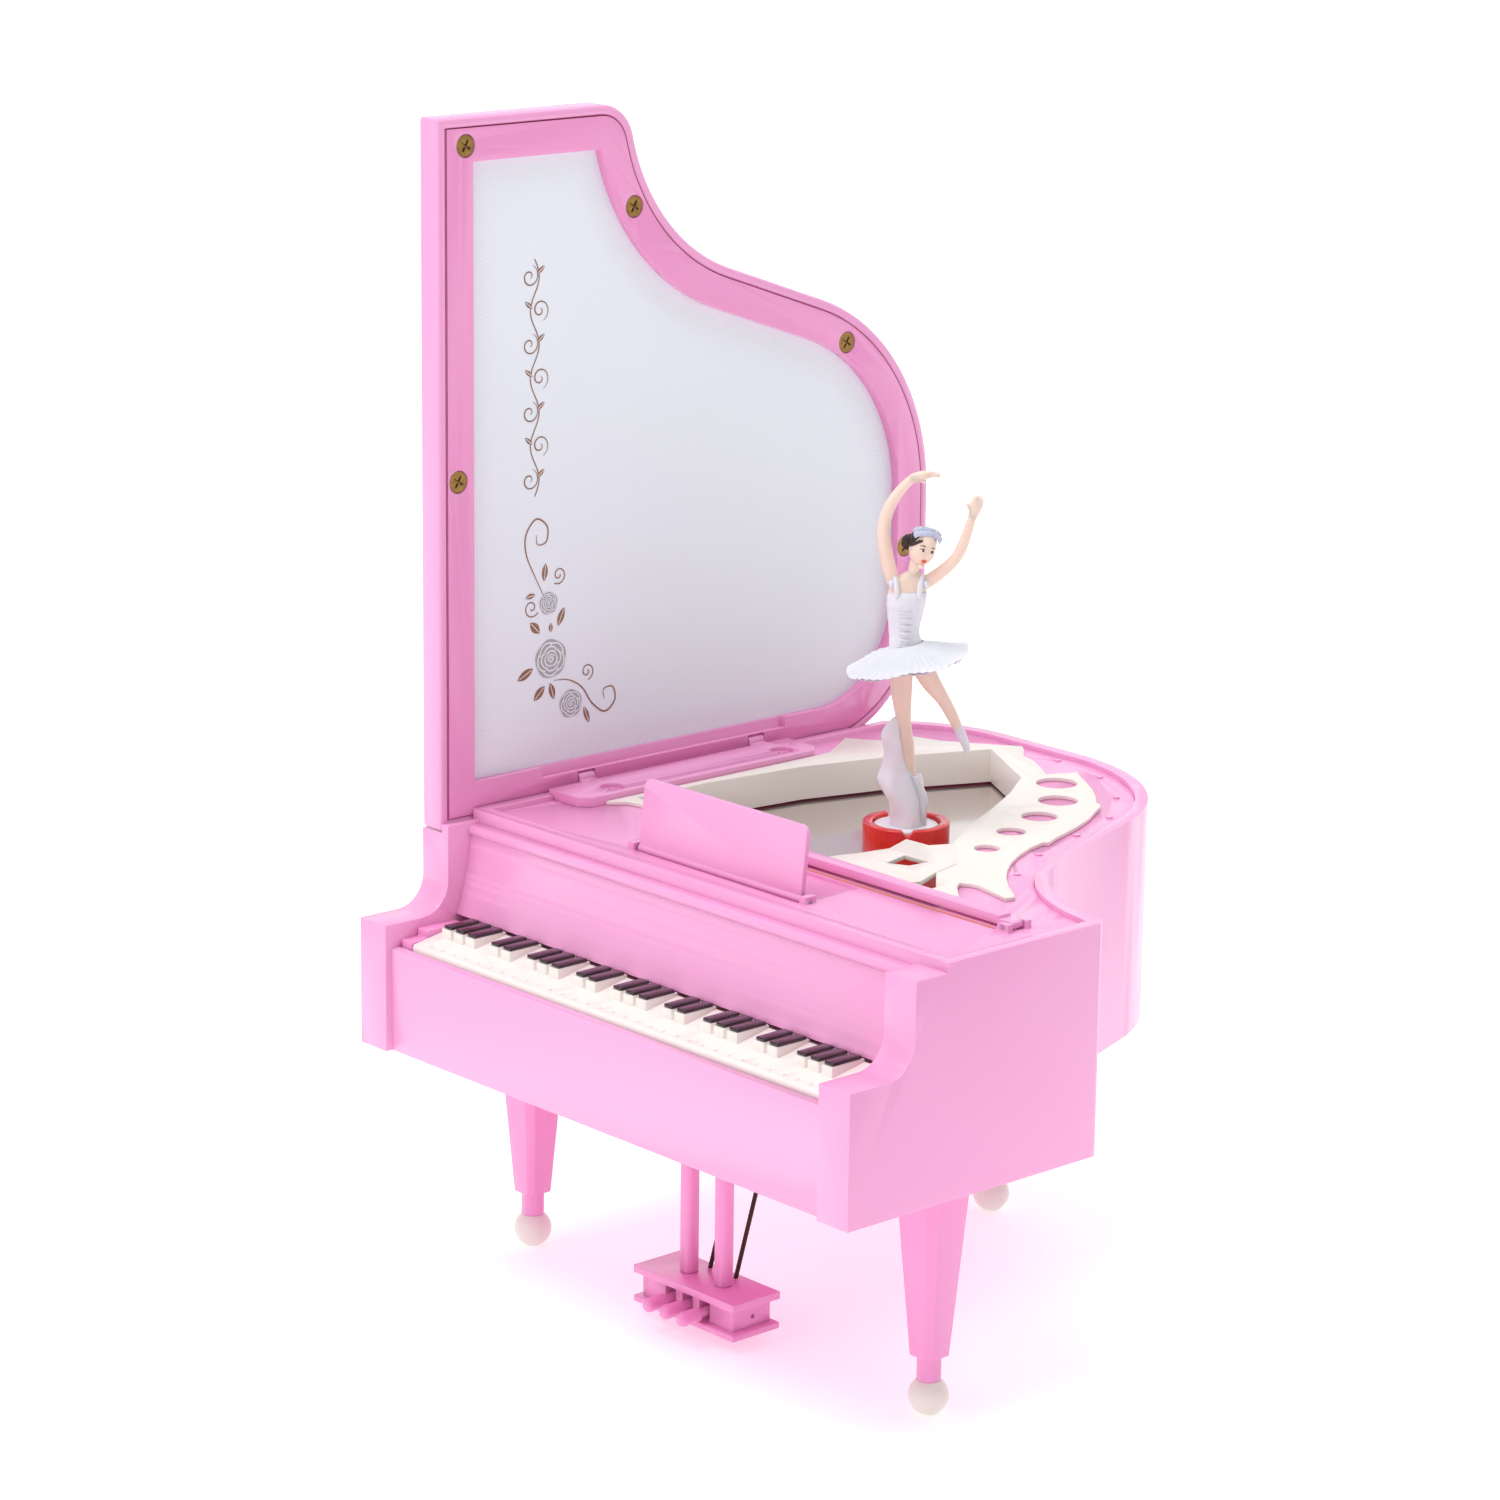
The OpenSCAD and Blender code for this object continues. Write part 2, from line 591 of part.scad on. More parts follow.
module comb() {
  tip_y = dancer_y - cylinder_r - 0.7;
  width = comb_teeth * comb_pitch;
  color(steel) in_case() {
    difference() {
      translate([comb_x, tip_y - 12, cylinder_z - 0.5]) cube([width, 12, 0.9]);
      for (i = [1:comb_teeth - 1]) translate([comb_x + i * comb_pitch - 0.15, tip_y - 8, cylinder_z - 1])
        cube([0.3, 9, 2]);
    }
    translate([comb_x, tip_y - 13, bed_z + bed_t]) cube([width, 4.6, cylinder_z - 0.5 - bed_z - bed_t]);
  }
}

module comb_screws() {
  color(steel) in_case() for (i = [0.2, 0.8])
    translate([comb_x + i * comb_teeth * comb_pitch, dancer_y - cylinder_r - 10.7, cylinder_z + 1.3])
      difference() {
        translate([0, 0, -0.9]) cylinder(h = 0.9, r = 1.5, $fn = 32);
        translate([-1, -0.2, -0.4]) cube([2, 0.4, 1]);
      }
}

module cylinder_body() {
  rotate([0, 90, 0]) {
    translate([0, 0, 3]) cylinder(h = cylinder_len - 2.4, r = cylinder_r, $fn = 64);
    translate([0, 0, -1.4]) linear_extrude(1.4) gear_plan(16, train_module, 0);
    translate([0, 0, -3]) cylinder(h = cylinder_len + 5.8, r = 0.8, $fn = 32);
  }
  // the tune: one turn of pins, spread by a fixed step round the drum
  for (i = [0:53]) translate([3.7 + (i % comb_teeth) * comb_pitch, 0, 0]) rotate([i * 137.5, 0, 0])
    translate([0, 0, cylinder_r - 0.1]) cylinder(h = 0.5, r = 0.2, $fn = 16);
}

module cylinder_part() {
  color(brass) in_case() translate([cylinder_x, dancer_y, cylinder_z]) cylinder_body();
}

module cylinder_bearings() {
  low = [gear_z + gear_t + 2.2, bed_z + bed_t];
  high = [bridge_z + 2.5, cylinder_z + 2.5];
  at = [cylinder_x - 2.9, cylinder_x + cylinder_len + 1.3];
  color(steel) in_case() for (i = [0, 1]) difference() {
    translate([at[i], dancer_y - 3, low[i]]) cube([1.3, 6, high[i] - low[i]]);
    translate([at[i] - 1, dancer_y, cylinder_z]) rotate([0, 90, 0]) cylinder(h = 4, r = 0.8 + fit, $fn = 32);
  }
}

bridge_z = gear_z + gear_t + 5;

// Strap over the spring barrel that steadies the drive spindle.
module barrel_bridge() {
  color(brass) in_case() difference() {
    union() {
      translate([dancer_x - 3.5, dancer_y - bridge_y - 2.5, bridge_z + 2.5]) cube([7, 2 * bridge_y + 5, 1.5]);
      for (s = [-1, 1]) translate([dancer_x, dancer_y + s * bridge_y, bed_z + bed_t])
        cylinder(h = bridge_z + 2.6 - bed_z - bed_t, r = 2, $fn = 32);
      translate([dancer_x + 3, dancer_y - 3, bridge_z + 2.5]) cube([5.6, 6, 1.5]);
    }
    translate([dancer_x, dancer_y, bridge_z]) cylinder(h = 9, r = arbor_r + fit, $fn = 40);
  }
}

// Plate over the second wheel and the fly.
module train_bridge() {
  x0 = fly_x - 4;
  x1 = second_x + 4;
  color(brass) in_case() difference() {
    union() {
      translate([x0, dancer_y - 12.5, bridge_z + 0.6]) cube([x1 - x0, 25, 1.4]);
      for (s = [-1, 1]) translate([fly_x + 4, dancer_y + s * 10.6, bed_z + bed_t])
        cylinder(h = bridge_z + 0.7 - bed_z - bed_t, r = 1.6, $fn = 32);
    }
    for (x = [second_x, fly_x]) translate([x, dancer_y, bridge_z]) cylinder(h = 5, r = 0.8 + fit, $fn = 32);
  }
}

module bridge_screws() {
  color(steel) in_case() {
    for (s = [-1, 1]) {
      translate([dancer_x, dancer_y + s * bridge_y, bridge_z + 4]) cylinder(h = 0.8, r = 1.5, $fn = 32);
      translate([fly_x + 4, dancer_y + s * 10.6, bridge_z + 2]) cylinder(h = 0.8, r = 1.3, $fn = 32);
    }
  }
}

module spring_barrel() {
  drum_r = 10.8;
  color(brass) in_case() translate([dancer_x, dancer_y, 0]) difference() {
    union() {
      translate([0, 0, barrel_z]) cylinder(h = gear_z - barrel_z + tiny, r = drum_r, $fn = 96);
      translate([0, 0, gear_z]) linear_extrude(gear_t) gear_plan(barrel_teeth, train_module, 0);
      // crown teeth that face the pinion of the cylinder
      for (i = [0:crown_teeth - 1]) rotate(i * 360 / crown_teeth)
        translate([8.8, -0.35, gear_z + gear_t - tiny]) cube([1.3, 0.7, 0.95]);
    }
    translate([0, 0, barrel_z + 0.8]) cylinder(h = gear_z - barrel_z - 0.8, r = drum_r - 0.8, $fn = 96);
    translate([0, 0, barrel_z - 1]) cylinder(h = 20, r = arbor_r + fit, $fn = 40);
  }
}

// Flat spring wound in rings inside the barrel.
module mainspring() {
  color(steel) in_case() translate([dancer_x, dancer_y, barrel_z + 1.2])
    linear_extrude(gear_z - barrel_z - 1.6) for (i = [0:5]) difference() {
      circle(r = 3.2 + i * 1.2, $fn = 64);
      circle(r = 2.7 + i * 1.2, $fn = 64);
    }
}

module drive_spindle() {
  color(steel) in_case() translate([dancer_x, dancer_y, gear_z + gear_t]) {
    cylinder(h = 2, r = 4.5, $fn = 48);
    cylinder(h = 30 - gear_z - gear_t, r = arbor_r, $fn = 40);
  }
}

module drive_magnet() {
  color([0.35, 0.35, 0.38]) in_case() translate([dancer_x, dancer_y, 30]) difference() {
    cylinder(h = 3.6, r = 7.2, $fn = 64);
    translate([-1, -8, 2.2]) cube([2, 16, 3]);
  }
}

module second_wheel() {
  color(brass) in_case() translate([second_x, dancer_y, 0]) {
    translate([0, 0, gear_z - 0.4]) linear_extrude(gear_t + 0.8)
      gear_plan(pinion_teeth, train_module, 180 / pinion_teeth);
    translate([0, 0, gear_z + gear_t + 2.2]) linear_extrude(1.2) gear_plan(wheel_teeth, wheel_module, 0);
    translate([0, 0, bed_z]) cylinder(h = bridge_z + 2.4 - bed_z, r = 0.8, $fn = 32);
  }
}

// Air brake: a small pinion and two thin blades on one upright shaft.
module governor_fly() {
  color(steel) in_case() translate([fly_x, dancer_y, 0]) {
    translate([0, 0, gear_z + gear_t + 1.8]) linear_extrude(2)
      gear_plan(fly_teeth, wheel_module, 180 / fly_teeth);
    translate([0, 0, bed_z]) cylinder(h = bridge_z + 2.4 - bed_z, r = 0.8, $fn = 32);
    translate([-4.4, -0.25, bed_z + bed_t + 1.5]) cube([8.8, 0.5, 8.5]);
  }
}

module winding_arbor() {
  color(steel) in_case() translate([dancer_x, dancer_y, -3]) {
    cylinder(h = gear_z + gear_t + 2.9, r = arbor_r, $fn = 40);
  }
}

// Butterfly key under the case.
module winding_key() {
  color(brass) in_case() translate([dancer_x, dancer_y, 0]) difference() {
    union() {
      translate([0, 0, -8]) cylinder(h = 8, r = 2.6, $fn = 40);
      for (s = [-1, 1]) translate([s * 6.2, 0, -11.4]) rotate([90, 0, 0]) translate([0, 0, -0.7])
        cylinder(h = 1.4, r = 5, $fn = 48);
      translate([-4, -0.7, -12]) cube([8, 1.4, 5]);
    }
    translate([0, 0, -3]) cylinder(h = 5, r = arbor_r, $fn = 40);
    for (s = [-1, 1]) translate([s * 6.8, -3, -11.4]) rotate([-90, 0, 0]) cylinder(h = 6, r = 2.2, $fn = 32);
  }
}

// ---- Dancer ----

cup_low = stage_z + 0.15;
cup_high = deck_z + 0.7;
cup_floor = cup_high - 2.2;
cup_in_r = cup_r - 2;
front_turn = -42;

// Red magnet cup: a shallow recess, a slot behind and a small notch in front.
module magnet_cup() {
  color([0.92, 0.20, 0.16]) in_case() translate([dancer_x, dancer_y, 0])
    rotate([0, 0, front_turn]) difference() {
    translate([0, 0, cup_low]) cylinder(h = cup_high - cup_low, r = cup_r, $fn = 72);
    translate([0, 0, cup_floor]) cylinder(h = 5, r = cup_in_r, $fn = 72);
    translate([-9, -3.35, cup_floor - 2.4]) cube([6, 6.7, 9]);
    translate([cup_r, 0, cup_high]) rotate([0, 0, 90]) rotate([90, 0, 0]) translate([0, 0, -3])
      linear_extrude(6) polygon([[-1.3, 0.1], [1.3, 0.1], [0, -1.3]]);
  }
}

// The dancer's parts stand on the cup, drawn facing +X and then turned to the front.
module on_stage() {
  in_case() translate([dancer_x, dancer_y, cup_high]) rotate([0, 0, front_turn]) children();
}

module limb(p, q, rp, rq) {
  hull() {
    translate(p) sphere(r = rp, $fn = 10);
    translate(q) sphere(r = rq, $fn = 10);
  }
}

// Points of the figure, as fractions of its height above the cup.
hip_z = dancer_h * 0.49;
waist_z = dancer_h * 0.58;
neck_z = dancer_h * 0.77;
head_z = dancer_h * 0.825;

// Legs, trunk with head, and arms, thickened by g.
module legs(g) {
  limb([0.2, 0.6, 3.4], [0, 0.4, 19], 1.1 + g, 1.4 + g);
  limb([0, 0.4, 19], [0, -0.6, hip_z], 1.4 + g, 1.9 + g);
  limb([-0.6, 11, 14.6], [-0.3, 6.8, 22], 0.8 + g, 1.3 + g);
  limb([-0.3, 6.8, 22], [0, 1.2, hip_z], 1.3 + g, 1.9 + g);
}

module trunk(g) {
  limb([0, 0, hip_z], [0, -0.6, waist_z], 2.5 + g, 2 + g);
  limb([0, -0.6, waist_z], [0, -0.6, neck_z - 5.6], 2 + g, 2.7 + g);
  limb([0, -0.6, neck_z - 5.6], [0, -0.4, neck_z], 2.7 + g, 1 + g);
  limb([0, -0.4, neck_z], [0.2, 0.2, head_z + 1.8], 2.3 + g, 2.9 + g);
}

module arms() {
  limb([0, -3.2, neck_z - 3], [0, -5.9, neck_z + 5.4], 1.3, 1.2);
  limb([0, -5.9, neck_z + 5.4], [0, -3.6, dancer_h - 2.5], 1.2, 0.8);
  limb([0, -3.6, dancer_h - 2.5], [0.4, 3.1, dancer_h - 0.6], 0.8, 0.6);
  limb([0, 2, neck_z - 2.6], [0, 8, neck_z + 2.6], 1.3, 1.1);
  limb([0, 8, neck_z + 2.6], [0.3, 12, dancer_h - 4.4], 1.1, 0.8);
}

// Foot of the dancer in the cup, with a swirl of cloth that rises beside the standing leg.
module dancer_base() {
  swirl = [[0, 0, 0, 3.4], [0, 0, 4.4, 3.5], [-0.3, -1, 8, 3.3], [-0.6, -2.2, 12, 2.1], [-0.3, -2.6, 16, 1.7],
           [0, -2.8, 21, 1.6]];
  color([0.93, 0.92, 0.96]) on_stage() difference() {
    union() {
      translate([0, 0, cup_floor - cup_high + 0.1]) cylinder(h = 1.9, r = cup_in_r - 0.3, $fn = 64);
      for (i = [0:4]) limb([swirl[i][0], swirl[i][1], swirl[i][2]],
                           [swirl[i + 1][0], swirl[i + 1][1], swirl[i + 1][2]], swirl[i][3], swirl[i + 1][3]);
    }
    legs(0.08);
    translate([-10, -10, cup_floor - cup_high - 9.9]) cube([20, 20, 10]);
  }
}

module dancer_figure() {
  color([0.95, 0.84, 0.76]) on_stage() {
    legs(0);
    trunk(0);
    arms();
  }
}

module dancer_tutu() {
  color([0.96, 0.95, 0.98]) on_stage() difference() {
    translate([0, 0, hip_z + 1.2]) rotate([-6, 0, 0]) difference() {
      union() {
        cylinder(h = 3, r1 = 10.8, r2 = 3.4, $fn = 64);
        translate([0, 0, -0.8]) cylinder(h = 0.81, r = 10.8, $fn = 64);
      }
      translate([0, 0, -1.4]) cylinder(h = 2.6, r1 = 10, r2 = 2, $fn = 64);
    }
    legs(0.08);
    trunk(0.08);
  }
}

module dancer_headdress() {
  color([0.9, 0.92, 0.97]) on_stage() difference() {
    translate([0.1, 0.3, head_z + 2.2]) sphere(r = 3.6, $fn = 24);
    translate([-5, -6, head_z - 5]) cube([10, 14, 8]);
    trunk(0.08);
  }
}

// ---- Lid, drawn closed and then stood up about its hinge ----

module lid_pose() {
  in_case() translate([hinge_x, 0, hinge_z]) rotate([0, -90, 0])
    translate([-hinge_x, 0, -hinge_z]) children();
}

lid_wall = 2;
lid_skin = 1.4;
lid_nose = 8.5;
frame_t = 2;
seam = 0.12;
rail_in = hinge_x + knuckle_r + 0.3;

// Outline of the lid, drawn in by d all round.
module lid_plan(d) {
  piano_plan(d, d, d + 0.5, lid_front + d, max(lid_nose - d, 0.6));
}

module lid_block(d, z, t) {
  translate([0, 0, closed_z + z]) linear_extrude(t) lid_plan(d);
}

// Room in the lid for the knuckles of the hinge strip and for the strip itself.
module hinge_room() {
  for (y = hinge_y) translate([2 * hinge_x - rail_in - 1, y - knuckle_w / 2 - 0.3, closed_z - 1])
    cube([2 * (rail_in - hinge_x) + 1, knuckle_w + 0.6, hinge_z - closed_z + knuckle_r + 1.3]);
  translate([hinge_x + 1.7, strip_y[0] - 0.6, closed_z - 1]) cube([9, strip_y[1] - strip_y[0] + 1.2, 2.2]);
}

module lid_shell() {
  color(pink) lid_pose() difference() {
    lid_block(0, 0, lid_t);
    lid_block(lid_wall, -1, lid_t - lid_skin + 1);
  }
}

module lid_frame() {
  color(deep_pink) lid_pose() difference() {
    union() {
      difference() {
        lid_block(lid_wall + seam, 0, frame_t);
        lid_block(frame_w, -1, 9);
      }
      // blocks that hold the hinge pins and stiffen the knuckle slots
      for (y = hinge_y) translate([2 * hinge_x - rail_in - 0.5, y - 9, closed_z + 0.01])
        cube([2 * (rail_in - hinge_x) + 1, 18, frame_t + 1.2]);
    }
    hinge_room();
    for (y = hinge_y) translate([hinge_x, y - 8, hinge_z]) rotate([-90, 0, 0])
      cylinder(h = 16, r = hinge_pin_r, $fn = 40);
    for (p = lid_screw_at) translate([p.x, p.y, closed_z - 1]) {
      cylinder(h = 10, r = 0.9, $fn = 24);
      cylinder(h = 1.8, r = 2.3, $fn = 40);
    }
  }
}

lid_screw_at = [[64, 22.4], [49, 64.8], [16, 123], [-0.8, 20.4], [-29.4, 141]];

module lid_screws() {
  color(bronze) lid_pose() for (p = lid_screw_at)
    translate([p.x, p.y, closed_z + 0.2]) rotate([180, 0, 30]) screw(2.1, 0.6, 0.9, 3.8);
}

// Mirror with a notch for each pin block and a hole round each screw tip.
module lid_mirror() {
  color([0.88, 0.91, 0.96]) lid_pose() difference() {
    lid_block(frame_w - 1.6, frame_t, 0.9);
    for (y = hinge_y) translate([-half_w, y - 9.3, closed_z]) cube([half_w + rail_in + 0.8, 18.6, 9]);
    for (p = lid_screw_at) translate([p.x, p.y, closed_z]) cylinder(h = 10, r = 1.2, $fn = 24);
  }
}

module hinge_pins() {
  color(steel) in_case() for (y = hinge_y) translate([hinge_x, y - 8, hinge_z]) rotate([-90, 0, 0])
    cylinder(h = 16, r = hinge_pin_r, $fn = 40);
}

// ---- Music desk and lid prop ----

// The desk turns on two stub pins; it leans back a little when it is up.
module music_desk() {
  color(pink) in_case() translate([0, desk_y, deck_z + 0.3]) rotate([-desk_lean, 0, 0]) difference() {
    union() {
      translate([-desk_w / 2 + 0.1, -desk_t / 2, 0]) cube([desk_w - 0.2, desk_t, desk_len - 2]);
      translate([-desk_w / 2 + 2.1, -desk_t / 2, desk_len - 2.1]) cube([desk_w - 4.2, desk_t, 2.1]);
      for (s = [-1, 1]) translate([s * (desk_w / 2 - 2.1), desk_t / 2, desk_len - 2]) rotate([90, 0, 0])
        cylinder(h = desk_t, r = 2, $fn = 48);
      rotate([0, 90, 0]) cylinder(h = desk_w - 0.2, r = 0.9, center = true, $fn = 32);
    }
    rotate([0, 90, 0]) cylinder(h = desk_w + 2, r = 0.5 + fit, center = true, $fn = 32);
  }
}

module desk_pins() {
  color(steel) in_case() for (s = [-1, 1]) translate([s * (desk_w / 2 - 1), desk_y, deck_z + 0.3])
    rotate([0, 90, 0]) cylinder(h = 6, r = 0.5, center = true, $fn = 32);
}

module lid_prop() {
  hub = 0.8;
  color(pink) in_case() translate([0, prop_y, prop_z]) difference() {
    union() {
      translate([prop_x[0], -prop_w / 2, -0.3]) cube([prop_x[1] - prop_x[0] - 2.4, prop_w, 1.7]);
      translate([prop_x[1] - 3, -prop_w / 2, -0.3]) cube([3, prop_w, 1.1]);
      translate([prop_x[1], prop_w / 2, 0]) rotate([90, 0, 0]) cylinder(h = prop_w, r = hub, $fn = 32);
    }
    translate([prop_x[1], 5, 0]) rotate([90, 0, 0]) cylinder(h = 10, r = 0.5 + fit, $fn = 32);
  }
}

module prop_pin() {
  color(steel) in_case() translate([prop_x[1], prop_y + 3, prop_z]) rotate([90, 0, 0])
    cylinder(h = 6, r = 0.5, $fn = 32);
}

case_shell();
bottom_cover();
cover_screws();
deck_plate();
fallboard();
keyboard();
black_keys();
key_blocks();
harp_frame();
stage_tray();
stage_mirror();
hinge_strip();
hinge_screws();
leg(leg_at[0]);  // leg_front_left
leg(leg_at[1]);  // leg_front_right
leg(leg_at[2]);  // leg_rear
ball_foot(leg_at[0]);  // foot_front_left
ball_foot(leg_at[1]);  // foot_front_right
ball_foot(leg_at[2]);  // foot_rear
leg_screws();
lyre_posts();
lyre_block();
lyre_base();
pedal_pin();
brace_rods();
pedal(-1);  // pedal_left
pedal(0);  // pedal_middle
pedal(1);  // pedal_right
bedplate();
bedplate_screws();
comb();
comb_screws();
cylinder_part();  // cylinder
cylinder_bearings();
train_bridge();
barrel_bridge();
bridge_screws();
spring_barrel();
mainspring();
drive_spindle();
drive_magnet();
second_wheel();
governor_fly();
winding_arbor();
winding_key();
magnet_cup();
dancer_base();
dancer_figure();
dancer_tutu();
dancer_headdress();
lid_shell();
lid_frame();
lid_mirror();
lid_screws();
hinge_pins();
music_desk();
desk_pins();
lid_prop();
prop_pin();
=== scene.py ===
import bpy
import bmesh
import json
import math
from mathutils import Matrix, Vector


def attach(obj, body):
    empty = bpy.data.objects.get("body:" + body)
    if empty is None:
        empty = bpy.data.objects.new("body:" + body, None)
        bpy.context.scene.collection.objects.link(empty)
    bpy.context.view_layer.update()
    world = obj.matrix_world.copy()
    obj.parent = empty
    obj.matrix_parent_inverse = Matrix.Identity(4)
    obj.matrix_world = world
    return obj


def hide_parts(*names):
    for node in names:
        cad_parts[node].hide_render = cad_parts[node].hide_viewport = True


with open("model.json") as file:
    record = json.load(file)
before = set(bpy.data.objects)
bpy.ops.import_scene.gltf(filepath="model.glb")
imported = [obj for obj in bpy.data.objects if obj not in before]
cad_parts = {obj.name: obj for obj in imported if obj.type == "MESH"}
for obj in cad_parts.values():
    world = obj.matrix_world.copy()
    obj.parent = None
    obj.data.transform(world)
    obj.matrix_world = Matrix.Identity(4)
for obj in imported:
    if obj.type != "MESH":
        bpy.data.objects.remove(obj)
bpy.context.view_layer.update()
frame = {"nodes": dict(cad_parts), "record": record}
BODY_OF = {n: b for b, ns in frame["record"]["behaviour"]["bodies"].items() for n in ns}

# ---------------------------------------------------------------- frame helpers
# Case coordinates in millimetres: x = 0 on the middle of the case, y = 0 at the cheek fronts,
# z = 0 at the underside of the case. P() turns them into the shared frame in metres.
CASE_D, LEG_H = 147.3, 46.7
CAMERA_AZIMUTH = math.radians(47.765)
CAMERA_AT = (620.1, -524.0, 284.5)
LID_FACE, MIRROR_X, LID_SHIFT = -64.3, -66.3, 111.5
AXIS = (-3.7, 84.0)
TURN = math.radians(-42)
CUP_TOP = 44.7


def P(x, y, z):
    return Vector((x, y - CASE_D / 2, z + LEG_H)) / 1000


def D(x, y, z):
    """Dancer's own axes: x to the front, y to the figure's left hand, z above the cup.
    The figure leans a little and its lower legs are drawn out."""
    c, s = math.cos(TURN), math.sin(TURN)
    if z > 0:
        y -= 0.3 * min(1, z / 10) + 0.013 * z
        z = z * 1.402 if z < 10 else z * 1.017 + 3.85
    return P(AXIS[0] + x * c - y * s, AXIS[1] + x * s + y * c, CUP_TOP + z)


def M(y, z, h=0.05):
    """On the lid mirror while the lid stands open, h millimetres in front of it."""
    return P(MIRROR_X + h, y, z)


def stands_for(ob, node):
    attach(ob, BODY_OF[node])
    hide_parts(node)


# ---------------------------------------------------------------- camera, first
def set_camera():
    az, el, roll = CAMERA_AZIMUTH, math.radians(14.549), math.radians(0.751)
    back = Vector((math.sin(az) * math.cos(el), -math.cos(az) * math.cos(el), math.sin(el)))
    right = Vector((math.cos(az), math.sin(az), 0))
    up = back.cross(right)
    ex = math.cos(roll) * right + math.sin(roll) * up
    ey = -math.sin(roll) * right + math.cos(roll) * up
    cam = bpy.data.cameras.new("camera")
    cam.lens, cam.sensor_width = 110.3, 36
    cam.clip_start, cam.clip_end = 0.05, 20
    ob = bpy.data.objects.new("camera", cam)
    bpy.context.scene.collection.objects.link(ob)
    turn = Matrix((ex, ey, back)).transposed().to_4x4()
    ob.matrix_world = Matrix.Translation(P(*CAMERA_AT)) @ turn
    bpy.context.scene.camera = ob


set_camera()


# ---------------------------------------------------------------- materials
def lin(c):
    """Linear colour from an 8-bit screen colour."""
    part = [v / 255 for v in c]
    return tuple(v / 12.92 if v <= 0.04045 else ((v + 0.055) / 1.055) ** 2.4 for v in part) + (1,)


def material(name, rgb, rough=0.35, metal=0.0, sub=0.0, coat=0.0, vary=0.03, scale=60, bump=0.0,
             bump_scale=400, rough_vary=0.05):
    """A plain surface whose colour and roughness vary a little with a noise."""
    m = bpy.data.materials.new(name)
    m.use_nodes = True
    nt = m.node_tree
    bs = nt.nodes["Principled BSDF"]
    base = lin(rgb)
    bs.inputs["Roughness"].default_value = rough
    bs.inputs["Metallic"].default_value = metal
    bs.inputs["Subsurface Weight"].default_value = sub
    bs.inputs["Subsurface Radius"].default_value = (0.004, 0.002, 0.002)
    bs.inputs["Subsurface Scale"].default_value = 0.6
    bs.inputs["Coat Weight"].default_value = coat
    bs.inputs["Coat Roughness"].default_value = 0.08
    co = nt.nodes.new("ShaderNodeTexCoord")
    if vary > 0:
        no = nt.nodes.new("ShaderNodeTexNoise")
        no.inputs["Scale"].default_value = scale
        no.inputs["Detail"].default_value = 3
        nt.links.new(co.outputs["Object"], no.inputs["Vector"])
        ramp = nt.nodes.new("ShaderNodeValToRGB")
        ramp.color_ramp.elements[0].position = 0.3
        ramp.color_ramp.elements[1].position = 0.7
        ramp.color_ramp.elements[0].color = tuple(v * (1 - vary) for v in base[:3]) + (1,)
        ramp.color_ramp.elements[1].color = tuple(min(1, v * (1 + vary)) for v in base[:3]) + (1,)
        nt.links.new(no.outputs["Fac"], ramp.inputs["Fac"])
        nt.links.new(ramp.outputs["Color"], bs.inputs["Base Color"])
        mr = nt.nodes.new("ShaderNodeMapRange")
        mr.inputs["To Min"].default_value = max(0.02, rough - rough_vary)
        mr.inputs["To Max"].default_value = rough + rough_vary
        nt.links.new(no.outputs["Fac"], mr.inputs["Value"])
        nt.links.new(mr.outputs["Result"], bs.inputs["Roughness"])
    else:
        bs.inputs["Base Color"].default_value = base
    if bump > 0:
        nb = nt.nodes.new("ShaderNodeTexNoise")
        nb.inputs["Scale"].default_value = bump_scale
        nt.links.new(co.outputs["Object"], nb.inputs["Vector"])
        bp = nt.nodes.new("ShaderNodeBump")
        bp.inputs["Strength"].default_value = bump
        bp.inputs["Distance"].default_value = 0.0002
        nt.links.new(nb.outputs["Fac"], bp.inputs["Height"])
        nt.links.new(bp.outputs["Normal"], bs.inputs["Normal"])
    return m


PINK = material("pink_shell", (243, 166, 212), 0.26, sub=0.1, coat=0.2, vary=0.006, scale=30, rough_vary=0.01)
TRIM = material("pink_trim", (240, 152, 204), 0.26, sub=0.1, coat=0.2, vary=0.008, scale=40, rough_vary=0.01)
FRAME = material("pink_frame", (243, 155, 206), 0.24, sub=0.1, coat=0.25, vary=0.008, scale=30,
                 rough_vary=0.01)
CREAM = material("cream", (240, 232, 224), 0.35, sub=0.02, vary=0.015, scale=40)
IVORY = material("ivory_keys", (245, 236, 230), 0.3, sub=0.1, vary=0.01)
RED = material("red", (222, 26, 18), 0.22, coat=0.4, vary=0.04, scale=80)
# Dark red, used for the stage tray and as painted shade in the gap of the lid seam.
DARK_RED_SEAM_SHADE = material("dark_red_seam_shade", (150, 24, 70), 0.5, vary=0.05)
BLACK = material("black_keys", (44, 14, 30), 0.22, coat=0.4, vary=0.1, scale=300)
# Painted reflection: the lid mirror is a matt pale blue-white surface whose colour stands in for the bright
# studio it reflects.
LID_MIRROR_PAINTED_REFLECTION = material("lid_mirror", (238, 243, 250), 0.42, metal=0.02, vary=0.01, scale=20, rough_vary=0.02)
STAGE = material("stage_mirror", (222, 214, 211), 0.12, metal=0.85, vary=0.01, scale=20, rough_vary=0.02)
BRASS = material("brass", (200, 160, 90), 0.3, metal=1, vary=0.06, scale=200)
STEEL = material("steel", (180, 182, 186), 0.3, metal=1, vary=0.05, scale=200)
BRONZE = material("screw_bronze", (150, 118, 66), 0.34, metal=0.9, vary=0.25, scale=900)
ROD = material("rod", (62, 30, 26), 0.4, metal=0.4, vary=0.2, scale=300)
IRON = material("magnet", (70, 70, 74), 0.45, metal=0.8, vary=0.1)
SKIN = material("skin", (244, 216, 200), 0.42, sub=0.25, vary=0.03, scale=160)
